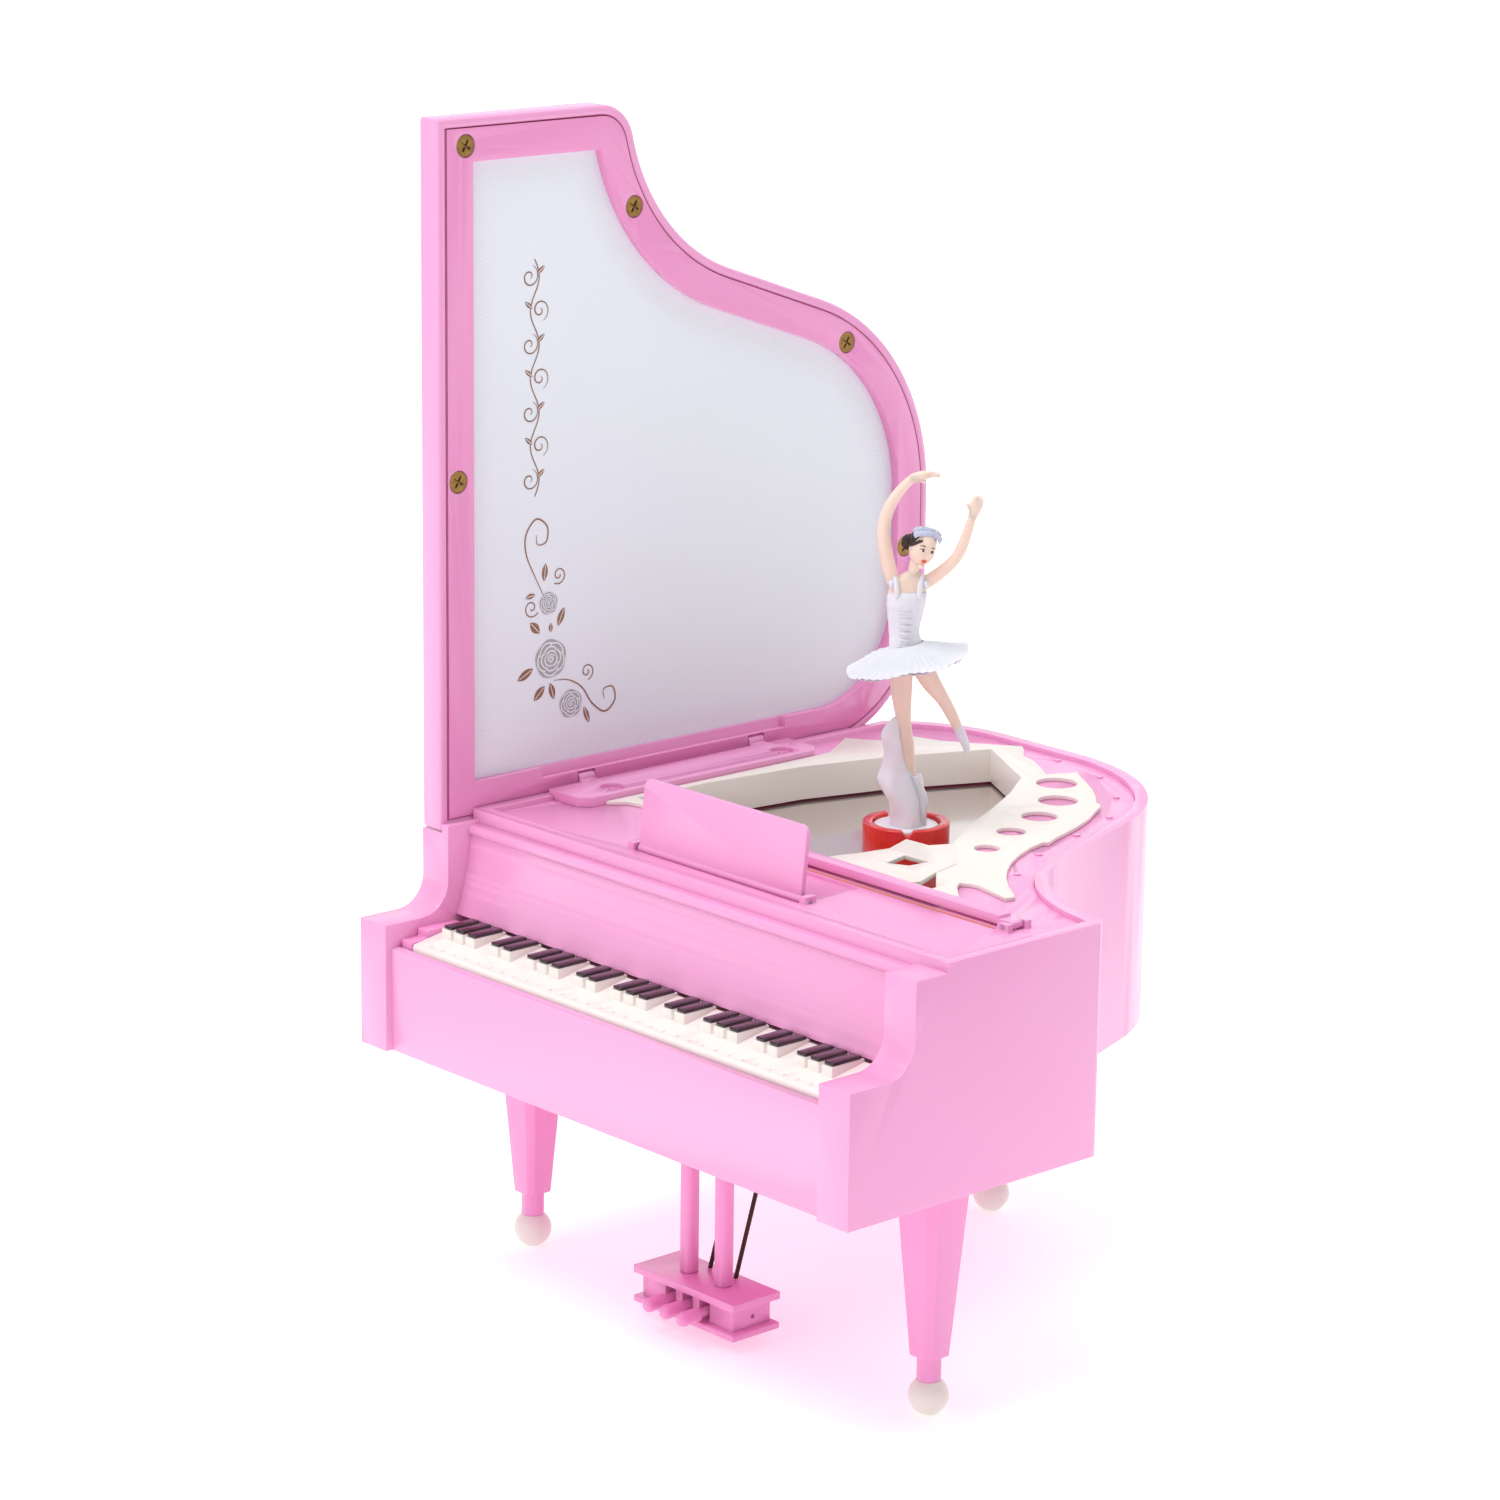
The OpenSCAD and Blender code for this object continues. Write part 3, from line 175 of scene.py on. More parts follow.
DRESS = material("dress", (232, 230, 238), 0.5, sub=0.2, vary=0.03, scale=200, bump=0.1, bump_scale=700)
CLEAR = material("pedestal", (244, 238, 246), 0.25, sub=0.4, coat=0.3, vary=0.02, scale=120)
HAIR = material("hair", (48, 26, 22), 0.4, vary=0.3, scale=500)
BAND = material("feathers", (196, 202, 224), 0.5, vary=0.12, scale=900)
LIPS = material("lips", (226, 92, 76), 0.4, vary=0)
INK = material("ink", (40, 28, 30), 0.5, vary=0)
# Painted highlight: a warm orange colour standing in for the light in the groove beside the lid prop.
GROOVE_HIGHLIGHT = material("painted_groove_highlight", (226, 140, 110), 0.5, vary=0.05)
SILVER = material("silver_print", (172, 174, 180), 0.4, metal=0.2, vary=0.05, scale=600)
COPPER = material("copper_print", (150, 108, 84), 0.4, metal=0.3, vary=0.08, scale=600)
WHITE = material("white_print", (250, 250, 252), 0.5, vary=0)


# ---------------------------------------------------------------- mesh helpers
def put(name, verts, faces, mat, smooth=True, angle=35):
    me = bpy.data.meshes.new(name)
    me.from_pydata([tuple(v) for v in verts], [], faces)
    me.update()
    ob = bpy.data.objects.new(name, me)
    bpy.context.scene.collection.objects.link(ob)
    me.materials.append(mat)
    shade(ob, smooth, angle)
    return ob


def shade(ob, smooth=True, angle=35):
    bm = bmesh.new()
    bm.from_mesh(ob.data)
    bmesh.ops.recalc_face_normals(bm, faces=bm.faces)
    for f in bm.faces:
        f.smooth = smooth
    for e in bm.edges:
        e.smooth = not (len(e.link_faces) == 2 and e.calc_face_angle(0) > math.radians(angle))
    bm.to_mesh(ob.data)
    bm.free()


def soften(node, width, mat, angle=32, segments=3):
    """A copy of a CAD node's mesh with rounded edges, shown in place of the node."""
    src = frame["nodes"][node]
    me = src.data.copy()
    me.name = "soft_" + node
    ob = bpy.data.objects.new("soft_" + node, me)
    bpy.context.scene.collection.objects.link(ob)
    ob.matrix_world = src.matrix_world.copy()
    me.materials.clear()
    me.materials.append(mat)
    bm = bmesh.new()
    bm.from_mesh(me)
    for f in bm.faces:
        f.material_index = 0
    bmesh.ops.remove_doubles(bm, verts=bm.verts, dist=2e-6)
    bmesh.ops.dissolve_limit(bm, angle_limit=math.radians(0.6), verts=bm.verts, edges=bm.edges)
    bmesh.ops.recalc_face_normals(bm, faces=bm.faces)
    for f in bm.faces:
        f.smooth = True
    for e in bm.edges:
        e.smooth = not (len(e.link_faces) == 2 and e.calc_face_angle(0) > math.radians(angle))
    bm.to_mesh(me)
    bm.free()
    if width > 0:
        bev = ob.modifiers.new("edges", "BEVEL")
        bev.width = width / 1000
        bev.segments = segments
        bev.limit_method = "ANGLE"
        bev.angle_limit = math.radians(angle)
        bev.harden_normals = True
        bev.use_clamp_overlap = True
        bake(ob)
        shade(ob, True, 50)
    stands_for(ob, node)
    return ob


def bake(ob):
    dg = bpy.context.evaluated_depsgraph_get()
    new = bpy.data.meshes.new_from_object(ob.evaluated_get(dg))
    ob.modifiers.clear()
    ob.data = new


def catmull(pts, n):
    out = []
    ps = [pts[0]] + list(pts) + [pts[-1]]
    for i in range(1, len(ps) - 2):
        a, b, c, d = ps[i - 1], ps[i], ps[i + 1], ps[i + 2]
        for k in range(n):
            t = k / n
            out.append([0.5 * (2 * b[j] + (c[j] - a[j]) * t + (2 * a[j] - 5 * b[j] + 4 * c[j] - d[j]) * t * t
                               + (3 * b[j] - a[j] - 3 * c[j] + d[j]) * t ** 3) for j in range(len(b))])
    out.append(list(pts[-1]))
    return out


def tube(name, pts, mat, to=D, sides=20, steps=6):
    """A round limb: pts are (x, y, z, radius), joined smoothly and closed with domes."""
    line = catmull(pts, steps)
    first, last = line[0], line[-1]
    verts, faces = [], []
    cen = [Vector(p[:3]) for p in line]
    dirs = [(cen[min(i + 1, len(cen) - 1)] - cen[max(i - 1, 0)]).normalized() for i in range(len(cen))]
    rings = []
    for k in (3, 2, 1):
        a = k * math.pi / 8
        rings.append((cen[0] - dirs[0] * first[3] * math.sin(a), dirs[0], first[3] * math.cos(a)))
    for c, d, p in zip(cen, dirs, line):
        rings.append((c, d, p[3]))
    for k in (1, 2, 3):
        a = k * math.pi / 8
        rings.append((cen[-1] + dirs[-1] * last[3] * math.sin(a), dirs[-1], last[3] * math.cos(a)))
    ref = Vector((1, 0, 0)) if abs(dirs[0].x) < 0.8 else Vector((0, 1, 0))
    for c, d, r in rings:
        u = (ref - d * ref.dot(d)).normalized()
        w = d.cross(u)
        ref = u
        for i in range(sides):
            a = 2 * math.pi * i / sides
            verts.append(to(*(c + u * math.cos(a) * r + w * math.sin(a) * r)))
    n = len(rings)
    for j in range(n - 1):
        for i in range(sides):
            a, b = j * sides + i, j * sides + (i + 1) % sides
            faces.append((a, b, b + sides, a + sides))
    faces.append(tuple(range(sides - 1, -1, -1)))
    faces.append(tuple((n - 1) * sides + i for i in range(sides)))
    return put(name, verts, faces, mat, True, 80)


def blob(name, c, r, mat, to=D, n=16, shape=None):
    """An egg shape with radii r about c."""
    verts, faces = [], []
    for j in range(n + 1):
        t = math.pi * j / n
        for i in range(2 * n):
            p = math.pi * i / n
            v = Vector((math.sin(t) * math.cos(p), math.sin(t) * math.sin(p), math.cos(t)))
            k = shape(v) if shape else 1
            v = Vector((v.x * r[0] * k, v.y * r[1] * k, v.z * r[2] * k))
            verts.append(to(c[0] + v.x, c[1] + v.y, c[2] + v.z))
    for j in range(n):
        for i in range(2 * n):
            a, b = j * 2 * n + i, j * 2 * n + (i + 1) % (2 * n)
            faces.append((a, b, b + 2 * n, a + 2 * n))
    ob = put(name, verts, faces, mat, True, 80)
    bm = bmesh.new()
    bm.from_mesh(ob.data)
    bmesh.ops.remove_doubles(bm, verts=bm.verts, dist=1e-7)
    bmesh.ops.recalc_face_normals(bm, faces=bm.faces)
    bm.to_mesh(ob.data)
    bm.free()
    return ob


def join(name, obs):
    """One object from several, keeping their materials."""
    bm = bmesh.new()
    mats = []
    for o in obs:
        mat = o.data.materials[0]
        if mat not in mats:
            mats.append(mat)
        base = len(bm.faces)
        bm.from_mesh(o.data)
        bm.faces.ensure_lookup_table()
        for f in bm.faces[base:]:
            f.material_index = mats.index(mat)
    me = bpy.data.meshes.new(name)
    bm.to_mesh(me)
    bm.free()
    for m in mats:
        me.materials.append(m)
    for o in obs:
        bpy.data.objects.remove(o)
    ob = bpy.data.objects.new(name, me)
    bpy.context.scene.collection.objects.link(ob)
    return ob


# ---------------------------------------------------------------- piano plan
def plan(d, dl, dr, y0, nose):
    """The case's outline from above, drawn in by d: left side dl, right side dr, nose radius nose."""
    A, B, C = Vector((-40, 117.3)), Vector((-18, 101.3)), Vector((72, 103.1))
    ra, rb, rc = 30 - d, 46 - d, 39.6 + d
    bc = C - B
    a_bc = math.atan2(bc.y, bc.x) + math.acos((rb + rc) / bc.length)
    x0, x1 = -70 + dl, 70 - dr
    nx = x1 - nose
    nc = Vector((nx, C.y - math.sqrt((rc + nose) ** 2 - (C.x - nx) ** 2)))
    a_n = math.atan2(C.y - nc.y, C.x - nc.x)
    a_l = math.acos(max(-1, (x0 - A.x) / ra))
    pts = [Vector((x0, y0))]

    def arc(c, r, a0, a1):
        n = max(6, int(abs(a1 - a0) * abs(r) / 2))
        return [c + Vector((math.cos(a0 + (a1 - a0) * i / n), math.sin(a0 + (a1 - a0) * i / n))) * r
                for i in range(n + 1)]

    pts += arc(A, ra, a_l, math.pi / 2) + arc(B, rb, math.pi / 2, a_bc) + arc(C, -rc, a_bc, a_n)
    pts += arc(nc, nose, a_n, 0) + [Vector((x1, y0))]
    return pts


def lid_loop(d):
    """Closed outline on the open lid as (y, z), drawn in by d from the lid's edge."""
    return [(p.y, p.x + LID_SHIFT) for p in plan(d, d, d + 0.5, 15.6 + d, max(8.5 - d, 0.4))]


def resample(loop, pitch):
    """Points at an even pitch round a closed outline, each with the outline's direction there."""
    pts = [Vector(p) for p in loop]
    pts.append(pts[0])
    total = sum((b - a).length for a, b in zip(pts, pts[1:]))
    n = max(2, round(total / pitch))
    step, out, acc, i = total / n, [], 0.0, 0
    for k in range(n):
        want = k * step
        while i < len(pts) - 2 and acc + (pts[i + 1] - pts[i]).length < want:
            acc += (pts[i + 1] - pts[i]).length
            i += 1
        seg = (pts[i + 1] - pts[i])
        t = (want - acc) / seg.length if seg.length else 0
        out.append((pts[i] + seg * min(max(t, 0), 1), seg.normalized() if seg.length else Vector((1, 0))))
    return out


def ribbon(name, pts, width, mat, closed=False, h=0.06, taper=False, place=None):
    """A flat printed line of the given width on the lid mirror."""
    place = place or M
    s = [Vector(p) for p in pts]
    verts, faces = [], []
    n = len(s)
    for i in range(n):
        a = s[(i - 1) % n] if closed else s[max(i - 1, 0)]
        b = s[(i + 1) % n] if closed else s[min(i + 1, n - 1)]
        d = (b - a)
        d = d.normalized() if d.length > 1e-9 else Vector((1, 0))
        w = width / 2 * (math.sin(math.pi * (0.12 + 0.76 * i / max(1, n - 1))) if taper else 1)
        q = Vector((-d.y, d.x)) * w
        verts += [place(s[i].x + q.x, s[i].y + q.y, h), place(s[i].x - q.x, s[i].y - q.y, h)]
    for i in range(n if closed else n - 1):
        a, b = 2 * i, 2 * ((i + 1) % n)
        faces.append((a, a + 1, b + 1, b))
    return put(name, verts, faces, mat, False)


def patch(name, outline, mat, h=0.05):
    """A flat printed shape on the lid mirror."""
    verts = [M(p[0], p[1], h) for p in outline]
    return put(name, verts, [tuple(range(len(verts)))], mat, False)


# ---------------------------------------------------------------- CAD nodes with rounded edges
for names, width, mat in (
    (("case_shell",), 0.9, PINK), (("deck_plate",), 0.25, PINK), (("hinge_strip",), 0.3, PINK),
    (("fallboard",), 0.25, PINK), (("music_desk",), 0.35, PINK), (("lid_prop",), 0.35, PINK),
    (("lid_shell",), 0.6, PINK), (("lid_frame",), 0.25, FRAME), (("bottom_cover",), 0.3, PINK),
    (("key_blocks",), 0.4, TRIM), (("keyboard",), 0.18, IVORY), (("black_keys",), 0.22, BLACK),
    (("harp_frame",), 0.25, CREAM), (("stage_tray",), 0.2, DARK_RED_SEAM_SHADE), (("magnet_cup",), 0.35, RED),
    (("leg_front_left", "leg_front_right", "leg_rear", "lyre_posts"), 0.3, TRIM),
    (("lyre_block", "lyre_base"), 0.25, TRIM), (("winding_key",), 0.3, BRASS),
):
    for node in names:
        soften(node, width, mat)

for names, mat in (
    (("stage_mirror",), STAGE), (("lid_mirror",), LID_MIRROR_PAINTED_REFLECTION),
    (("foot_front_left", "foot_front_right", "foot_rear"), CREAM),
    (("pedal_left", "pedal_middle", "pedal_right"), TRIM), (("brace_rods",), ROD),
    (("cover_screws", "leg_screws", "lid_screws"), BRONZE), (("hinge_screws",), FRAME),
    (("bedplate", "cylinder", "spring_barrel", "second_wheel", "train_bridge", "barrel_bridge"), BRASS),
    (("bedplate_screws", "comb", "comb_screws", "cylinder_bearings", "bridge_screws", "mainspring",
      "drive_spindle", "governor_fly", "winding_arbor"), STEEL),
    (("hinge_pins", "desk_pins", "prop_pin", "pedal_pin"), STEEL),
    (("drive_magnet",), IRON),
):
    for node in names:
        src = frame["nodes"][node]
        src.data.materials.clear()
        src.data.materials.append(mat)
        for f in src.data.polygons:
            f.material_index = 0


# ---------------------------------------------------------------- print on the lid mirror
def curl(cx, cy, r, turns, a0, sign=1, n=40):
    """A spiral that starts at radius r and winds inwards."""
    out = []
    for i in range(n + 1):
        t = i / n
        a = a0 + sign * turns * 2 * math.pi * t
        k = r * (1 - 0.86 * t)
        out.append((cx + k * math.cos(a), cy + k * math.sin(a)))
    return out


def stem(pts, width=0.36):
    return ribbon("stem", [p[:2] for p in catmull(pts, 10)], width, COPPER, taper=True)


def leaf(y, z, length, wide, ang):
    out = []
    for i in range(13):
        t = i / 12
        out.append((t * length, wide / 2 * math.sin(math.pi * t) ** 0.8))
    for i in range(11, 0, -1):
        t = i / 12
        out.append((t * length, -wide / 2 * math.sin(math.pi * t) ** 0.8))
    c, s = math.cos(ang), math.sin(ang)
    pts = [(y + a * c - b * s, z + a * s + b * c) for a, b in out]
    vein = [(y + length * t * c, z + length * t * s) for t in (0.1, 0.5, 0.9)]
    return [patch("leaf", pts, COPPER), ribbon("vein", vein, 0.14, WHITE, h=0.08)]


def rose(y, z, r):
    """A rose seen from the front: a scalloped silver disc with pale petal lines."""
    out = []
    for i in range(60):
        a = 2 * math.pi * i / 60
        k = r * (0.93 + 0.07 * abs(math.sin(2.5 * a + 0.4)))
        out.append((y + k * math.cos(a), z + k * math.sin(a)))
    obs = [patch("rose", out, SILVER, h=0.09)]
    for ring, (rr, petals, off) in enumerate(((0.78, 5, 0.2), (0.56, 4, 0.9), (0.36, 3, 0.4))):
        for k in range(petals):
            a0 = off + 2 * math.pi * k / petals
            arc = []
            for i in range(15):
                t = i / 14
                a = a0 + 2 * math.pi / petals * 1.15 * t
                q = r * rr * (1 + 0.16 * math.sin(math.pi * t) - 0.10 * t)
                arc.append((y + q * math.cos(a), z + q * math.sin(a)))
            obs.append(ribbon("petal", arc, r * 0.07, WHITE, h=0.12))
    obs.append(ribbon("heart", curl(y, z, r * 0.24, 1.6, 0.5), r * 0.06, WHITE, h=0.12))
    return obs


def lace():
    obs = []
    for d in (10.0, 10.5):
        obs.append(ribbon("line", lid_loop(d), 0.16, WHITE, closed=True, h=0.05))
    for k, d in enumerate((11.3, 12.0, 12.7, 13.4)):
        verts, faces = [], []
        size = 0.2 - 0.02 * k
        for p, t in resample(lid_loop(d), 0.95):
            q = Vector((-t.y, t.x))
            i = len(verts)
            for a, b in ((-1, -1), (1, -1), (1, 1), (-1, 1)):
                v = p + t * a * size * 1.1 + q * b * size
                verts.append(M(v.x, v.y, 0.05))
            faces.append((i, i + 1, i + 2, i + 3))
        obs.append(put("dots", verts, faces, WHITE, False))
    return obs


def flourish():
    obs = []
    # roses in the lower corner with leaves and scrolls
    obs += rose(44.6, 83.0, 2.3) + rose(45.2, 71.6, 4.0) + rose(50.4, 61.6, 2.9)
    leaves = ((43.4, 87.6, 3.6, 1.5, 1.45), (41.2, 85.2, 2.6, 1.1, 3.3), (47.0, 78.0, 4.0, 1.6, 1.15),
              (42.3, 77.2, 3.4, 1.9, 2.35), (40.6, 70.2, 4.4, 1.8, 3.6), (43.6, 66.2, 3.8, 1.8, 3.9),
              (45.0, 66.6, 3.6, 1.6, 5.0), (53.8, 60.4, 3.8, 1.3, 5.1), (45.2, 77.0, 1.9, 1.0, 1.6))
    for y, z, length, wide, ang in leaves:
        obs += leaf(y, z, length, wide, ang)
    obs.append(stem([(43.4, 84.6), (41.0, 89.0), (38.9, 93.5), (38.8, 97.5), (41.4, 100.4), (44.2, 98.6),
                     (44.0, 95.6), (41.8, 95.2), (41.4, 97.2)]))
    obs.append(ribbon("curl", curl(47.2, 88.4, 1.9, 1.4, -2.2), 0.26, COPPER))
    obs.append(ribbon("curl", curl(40.2, 82.6, 2.0, 1.3, -0.6, -1), 0.26, COPPER))
    obs.append(stem([(46.0, 67.0), (49.6, 66.6), (53.2, 64.6), (56.0, 60.8), (59.4, 58.6), (62.0, 60.6),
                     (61.4, 63.4), (59.0, 63.2), (59.2, 61.2)]))
    obs.append(ribbon("curl", curl(54.6, 67.6, 1.8, 1.4, -1.4), 0.26, COPPER))
    # an upright chain of scrolls instead of the printed words
    z0, z1, n, middle = 105.0, 152.0, 7, 41.0
    for k in range(n):
        z = z0 + (z1 - z0) * (k + 0.5) / n
        s = 1 if k % 2 else -1
        scroll = curl(middle + s * 1.3, z, 2.3, 1.35, -s * 1.2, s)
        obs.append(ribbon("scroll", scroll, 0.3, COPPER, taper=True))
        obs += leaf(middle - s * 0.6, z + 0.4, 2.4, 0.9, math.pi / 2 + s * 0.9)
    heights = [z0 + i * (z1 - z0) / 80 for i in range(81)]
    spine = [(middle + 1.1 * math.sin((z - z0) * math.pi / 6.7), z) for z in heights]
    obs.append(ribbon("spine", spine, 0.26, COPPER))
    return obs


deco = join("mirror_print", lace() + flourish())
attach(deco, "lid")


# ---------------------------------------------------------------- painted shade of the lid seam and painted highlight in the prop groove
def lid_seam_shade_line():
    """Painted shade: a thin dark line for the shaded gap between the lid's rim and its inner frame."""
    def place(y, z, h):
        return P(LID_FACE + 0.03, y, z)

    return ribbon("lid_seam_painted_shade", lid_loop(2.06), 0.16, DARK_RED_SEAM_SHADE, closed=True, place=place)


def prop_groove_highlight():
    """A painted warm highlight line in the groove beside the lid prop, on the deck."""
    def place(x, y, h):
        return P(x, y, 44.0 + h)

    return ribbon("prop_groove_highlight", [(-20, 46.9), (58, 46.9)], 0.7, GROOVE_HIGHLIGHT, place=place)


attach(lid_seam_shade_line(), "lid")
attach(prop_groove_highlight(), "case")


# ---------------------------------------------------------------- the dancer
def lathe(name, rings, mat, n=40, shape=None):
    """rings: (x, y, z, rx, ry) ellipses from bottom to top, joined and closed."""
    line = catmull(rings, 5)
    verts, faces = [], []
    for k, (x, y, z, rx, ry) in enumerate(line):
        for i in range(n):
            a = 2 * math.pi * i / n
            f = shape(a, k / (len(line) - 1)) if shape else 1
            verts.append(D(x + rx * f * math.cos(a), y + ry * f * math.sin(a), z))
    for k in range(len(line) - 1):
        for i in range(n):
            a, b = k * n + i, k * n + (i + 1) % n
            faces.append((a, b, b + n, a + n))
    faces.append(tuple(range(n - 1, -1, -1)))
    faces.append(tuple((len(line) - 1) * n + i for i in range(n)))
    return put(name, verts, faces, mat, True, 70)


def limbs():
    """Legs, chest, neck, arms and hands; the right arm is raised over the head."""
    obs = [
        tube("leg_a", [(0.2, 0.9, 1.2, 1.0), (0.1, 0.8, 6, 1.15), (0, 0.2, 11, 1.5), (0.1, -0.4, 16, 1.45),
                       (0, -0.9, 22, 2.1), (0, -1.0, 28, 2.4)], SKIN),
        tube("leg_b", [(-0.8, 10.9, 13.2, 0.8), (-0.5, 9.2, 16.8, 1.15), (-0.3, 7.2, 20.4, 1.35),
                       (-0.1, 4.8, 23.8, 1.9), (0, 2.2, 28.5, 2.3)], SKIN),
        lathe("chest", [(0, -0.4, 36, 1.8, 2.6), (0.1, -0.2, 40, 2.1, 3.4), (0.1, 0.3, 43, 1.7, 3.6),
                        (0, 0.8, 44.6, 1.2, 2.2), (0, 1.0, 45.4, 0.9, 1.2)], SKIN),
        tube("neck", [(0, 0.9, 43.6, 1.2), (0.1, 1.2, 45.4, 1.05), (0.2, 1.8, 47.5, 1.2)], SKIN),
        tube("arm_a", [(0, -2.7, 43.4, 1.3), (0.1, -3.6, 46.6, 1.35), (0.2, -4.4, 50.6, 1.35),
                       (0.2, -4.5, 54.4, 1.25), (0.2, -3.6, 57.6, 1.15), (0.2, -2.0, 60.4, 1.0),
                       (0.3, 0.2, 62.9, 0.85), (0.3, 1.6, 63.6, 0.8)], SKIN),
        tube("palm_a", [(0.3, 0.9, 63.6, 0.8), (0.3, 2.6, 64.0, 0.95), (0.3, 4.2, 64.3, 0.7),
                        (0.3, 5.4, 64.4, 0.4)], SKIN),
        tube("thumb_a", [(0.6, 2.0, 63.4, 0.4), (0.9, 3.2, 62.9, 0.3)], SKIN, sides=12),
        tube("arm_b", [(0, 3.4, 43.2, 1.3), (0.1, 5.6, 44.6, 1.25), (0.1, 8.0, 46.6, 1.15),
                       (0.2, 9.9, 48.9, 1.1), (0.2, 11.2, 52.0, 1.0), (0.2, 12.2, 55.2, 0.85),
                       (0.2, 12.7, 56.8, 0.8)], SKIN),
        tube("palm_b", [(0.2, 12.7, 56.6, 0.9), (0.2, 13.2, 58.2, 1.25), (0.2, 13.5, 59.2, 1.2)], SKIN),
        tube("thumb_b", [(0.5, 12.2, 57.6, 0.4), (0.6, 11.5, 58.7, 0.32)], SKIN, sides=12),
    ]
    for i in range(4):
        root = (0.9 - 0.45 * i, 13.2 + 0.1 * i, 58.8, 0.36)
        tip = (1.0 - 0.45 * i, 13.3 + 0.15 * i, 59.9, 0.3)
        obs.append(tube("finger_b", [root, tip], SKIN, sides=10, steps=3))
    for i in range(3):
        root = (0.7 - 0.4 * i, 4.2, 64.2, 0.36)
        tip = (0.8 - 0.4 * i, 6.0, 64.5 - 0.3 * i, 0.3)
        obs.append(tube("finger_a", [root, tip], SKIN, sides=10, steps=3))
    return obs


# head, turned a little to the figure's left and leaned with the neck
HEAD, LEAN = Vector((0.5, 2.9, 49.9)), math.radians(-17)
LOOK = math.radians(20)


def on_head(x, y, z):
    v = Matrix.Rotation(LEAN, 3, "X") @ Matrix.Rotation(LOOK, 3, "Z") @ Vector((x, y, z))
    return D(*(HEAD + v))


def face_shape(v):
    k = 1.0
    if v.z < 0:
        k -= 0.24 * v.z * v.z * (1 - 0.35 * max(0, v.x))
    return k


def head():
    obs = [
        blob("head", (0, 0, 0), (2.75, 2.5, 3.9), SKIN, to=on_head, n=24, shape=face_shape),
        blob("nose", (2.78, 0, -0.55), (0.4, 0.28, 0.62), SKIN, to=on_head, n=10),
        blob("chin", (1.75, 0, -2.95), (0.6, 0.65, 0.5), SKIN, to=on_head, n=10),
    ]
    for s in (-1, 1):
        obs.append(blob("ear", (0, s * 2.45, -0.2), (0.55, 0.25, 0.7), SKIN, to=on_head, n=8))
    return obs


def features():
    """Plain painted eyes, brows and lips."""
    obs = []
    for s in (-1, 1):
        lash = [(2.42, s * 0.45, 0.36, 0.06), (2.58, s * 0.95, 0.5, 0.1), (2.22, s * 1.5, 0.36, 0.06)]
        brow = [(2.5, s * 0.45, 0.92, 0.06), (2.48, s * 1.0, 1.16, 0.09), (2.1, s * 1.6, 0.98, 0.05)]
        obs.append(blob("eye_white", (2.38, s * 0.98, 0.22), (0.26, 0.48, 0.2), WHITE, to=on_head, n=10))
        obs.append(blob("eye", (2.6, s * 0.96, 0.2), (0.12, 0.24, 0.17), INK, to=on_head, n=8))
        obs.append(tube("lash", lash, INK, to=on_head, sides=8))
        obs.append(tube("brow", brow, INK, to=on_head, sides=8))
    obs.append(blob("lips", (2.42, 0, -1.72), (0.3, 0.62, 0.22), LIPS, to=on_head, n=10))
    obs.append(blob("lip_low", (2.32, 0, -1.98), (0.3, 0.45, 0.18), LIPS, to=on_head, n=10))
    return obs


def bun_shape(v):
    return 1 + 0.05 * math.sin(9 * math.atan2(v.z, v.y))


def hair():
    obs = [
        blob("hair_cap", (-0.75, 0, 0.95), (2.75, 2.72, 3.3), HAIR, to=on_head, n=24),
        blob("bun", (-2.5, -2.0, 0.2), (1.3, 1.5, 1.6), HAIR, to=on_head, n=16, shape=bun_shape),
    ]
    for k in range(5):
        strand = [(1.9 - 0.5 * k, -1.5 - 0.2 * k, 1.9 - 0.2 * k, 0.22),
                  (1.0 - 0.5 * k, -2.3, 0.9 - 0.2 * k, 0.3), (-0.4 - 0.4 * k, -2.65, -0.1, 0.24)]
        obs.append(tube("strand", strand, HAIR, to=on_head, sides=10))
    return obs


def feathers():
    """Two rows of small feathers in an arc over the hair."""
    obs = []
    count = 26
    for k in range(count):
        a = math.radians(-78 + 156 * k / (count - 1))
        c = Vector((1.75 * math.cos(a * 0.6) - 0.1, 2.75 * math.sin(a), 2.1 + 1.25 * math.cos(a)))
        for row in (0, 1):
            p = c + Vector((-0.75 * row, 0, 0.55 * row))
            q = p + Vector((-0.9, 0.25 * math.sin(k * 1.7), 0.45))
            m = (p + q) / 2
            quill = [(p.x, p.y, p.z - 0.25, 0.16), (m.x + 0.1, m.y, m.z, 0.42), (q.x, q.y, q.z, 0.12)]
            obs.append(tube("feather", quill, BAND, to=on_head, sides=8, steps=3))
    return obs


stands_for(join("figure", limbs() + head()), "dancer_figure")
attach(join("face", features()), "dancer")
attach(join("hair", hair()), "dancer")
stands_for(join("headdress", feathers()), "dancer_headdress")


def ribbed(a, t):
    return 1 + 0.018 * math.cos(16 * a) + 0.012 * math.cos(40 * t)


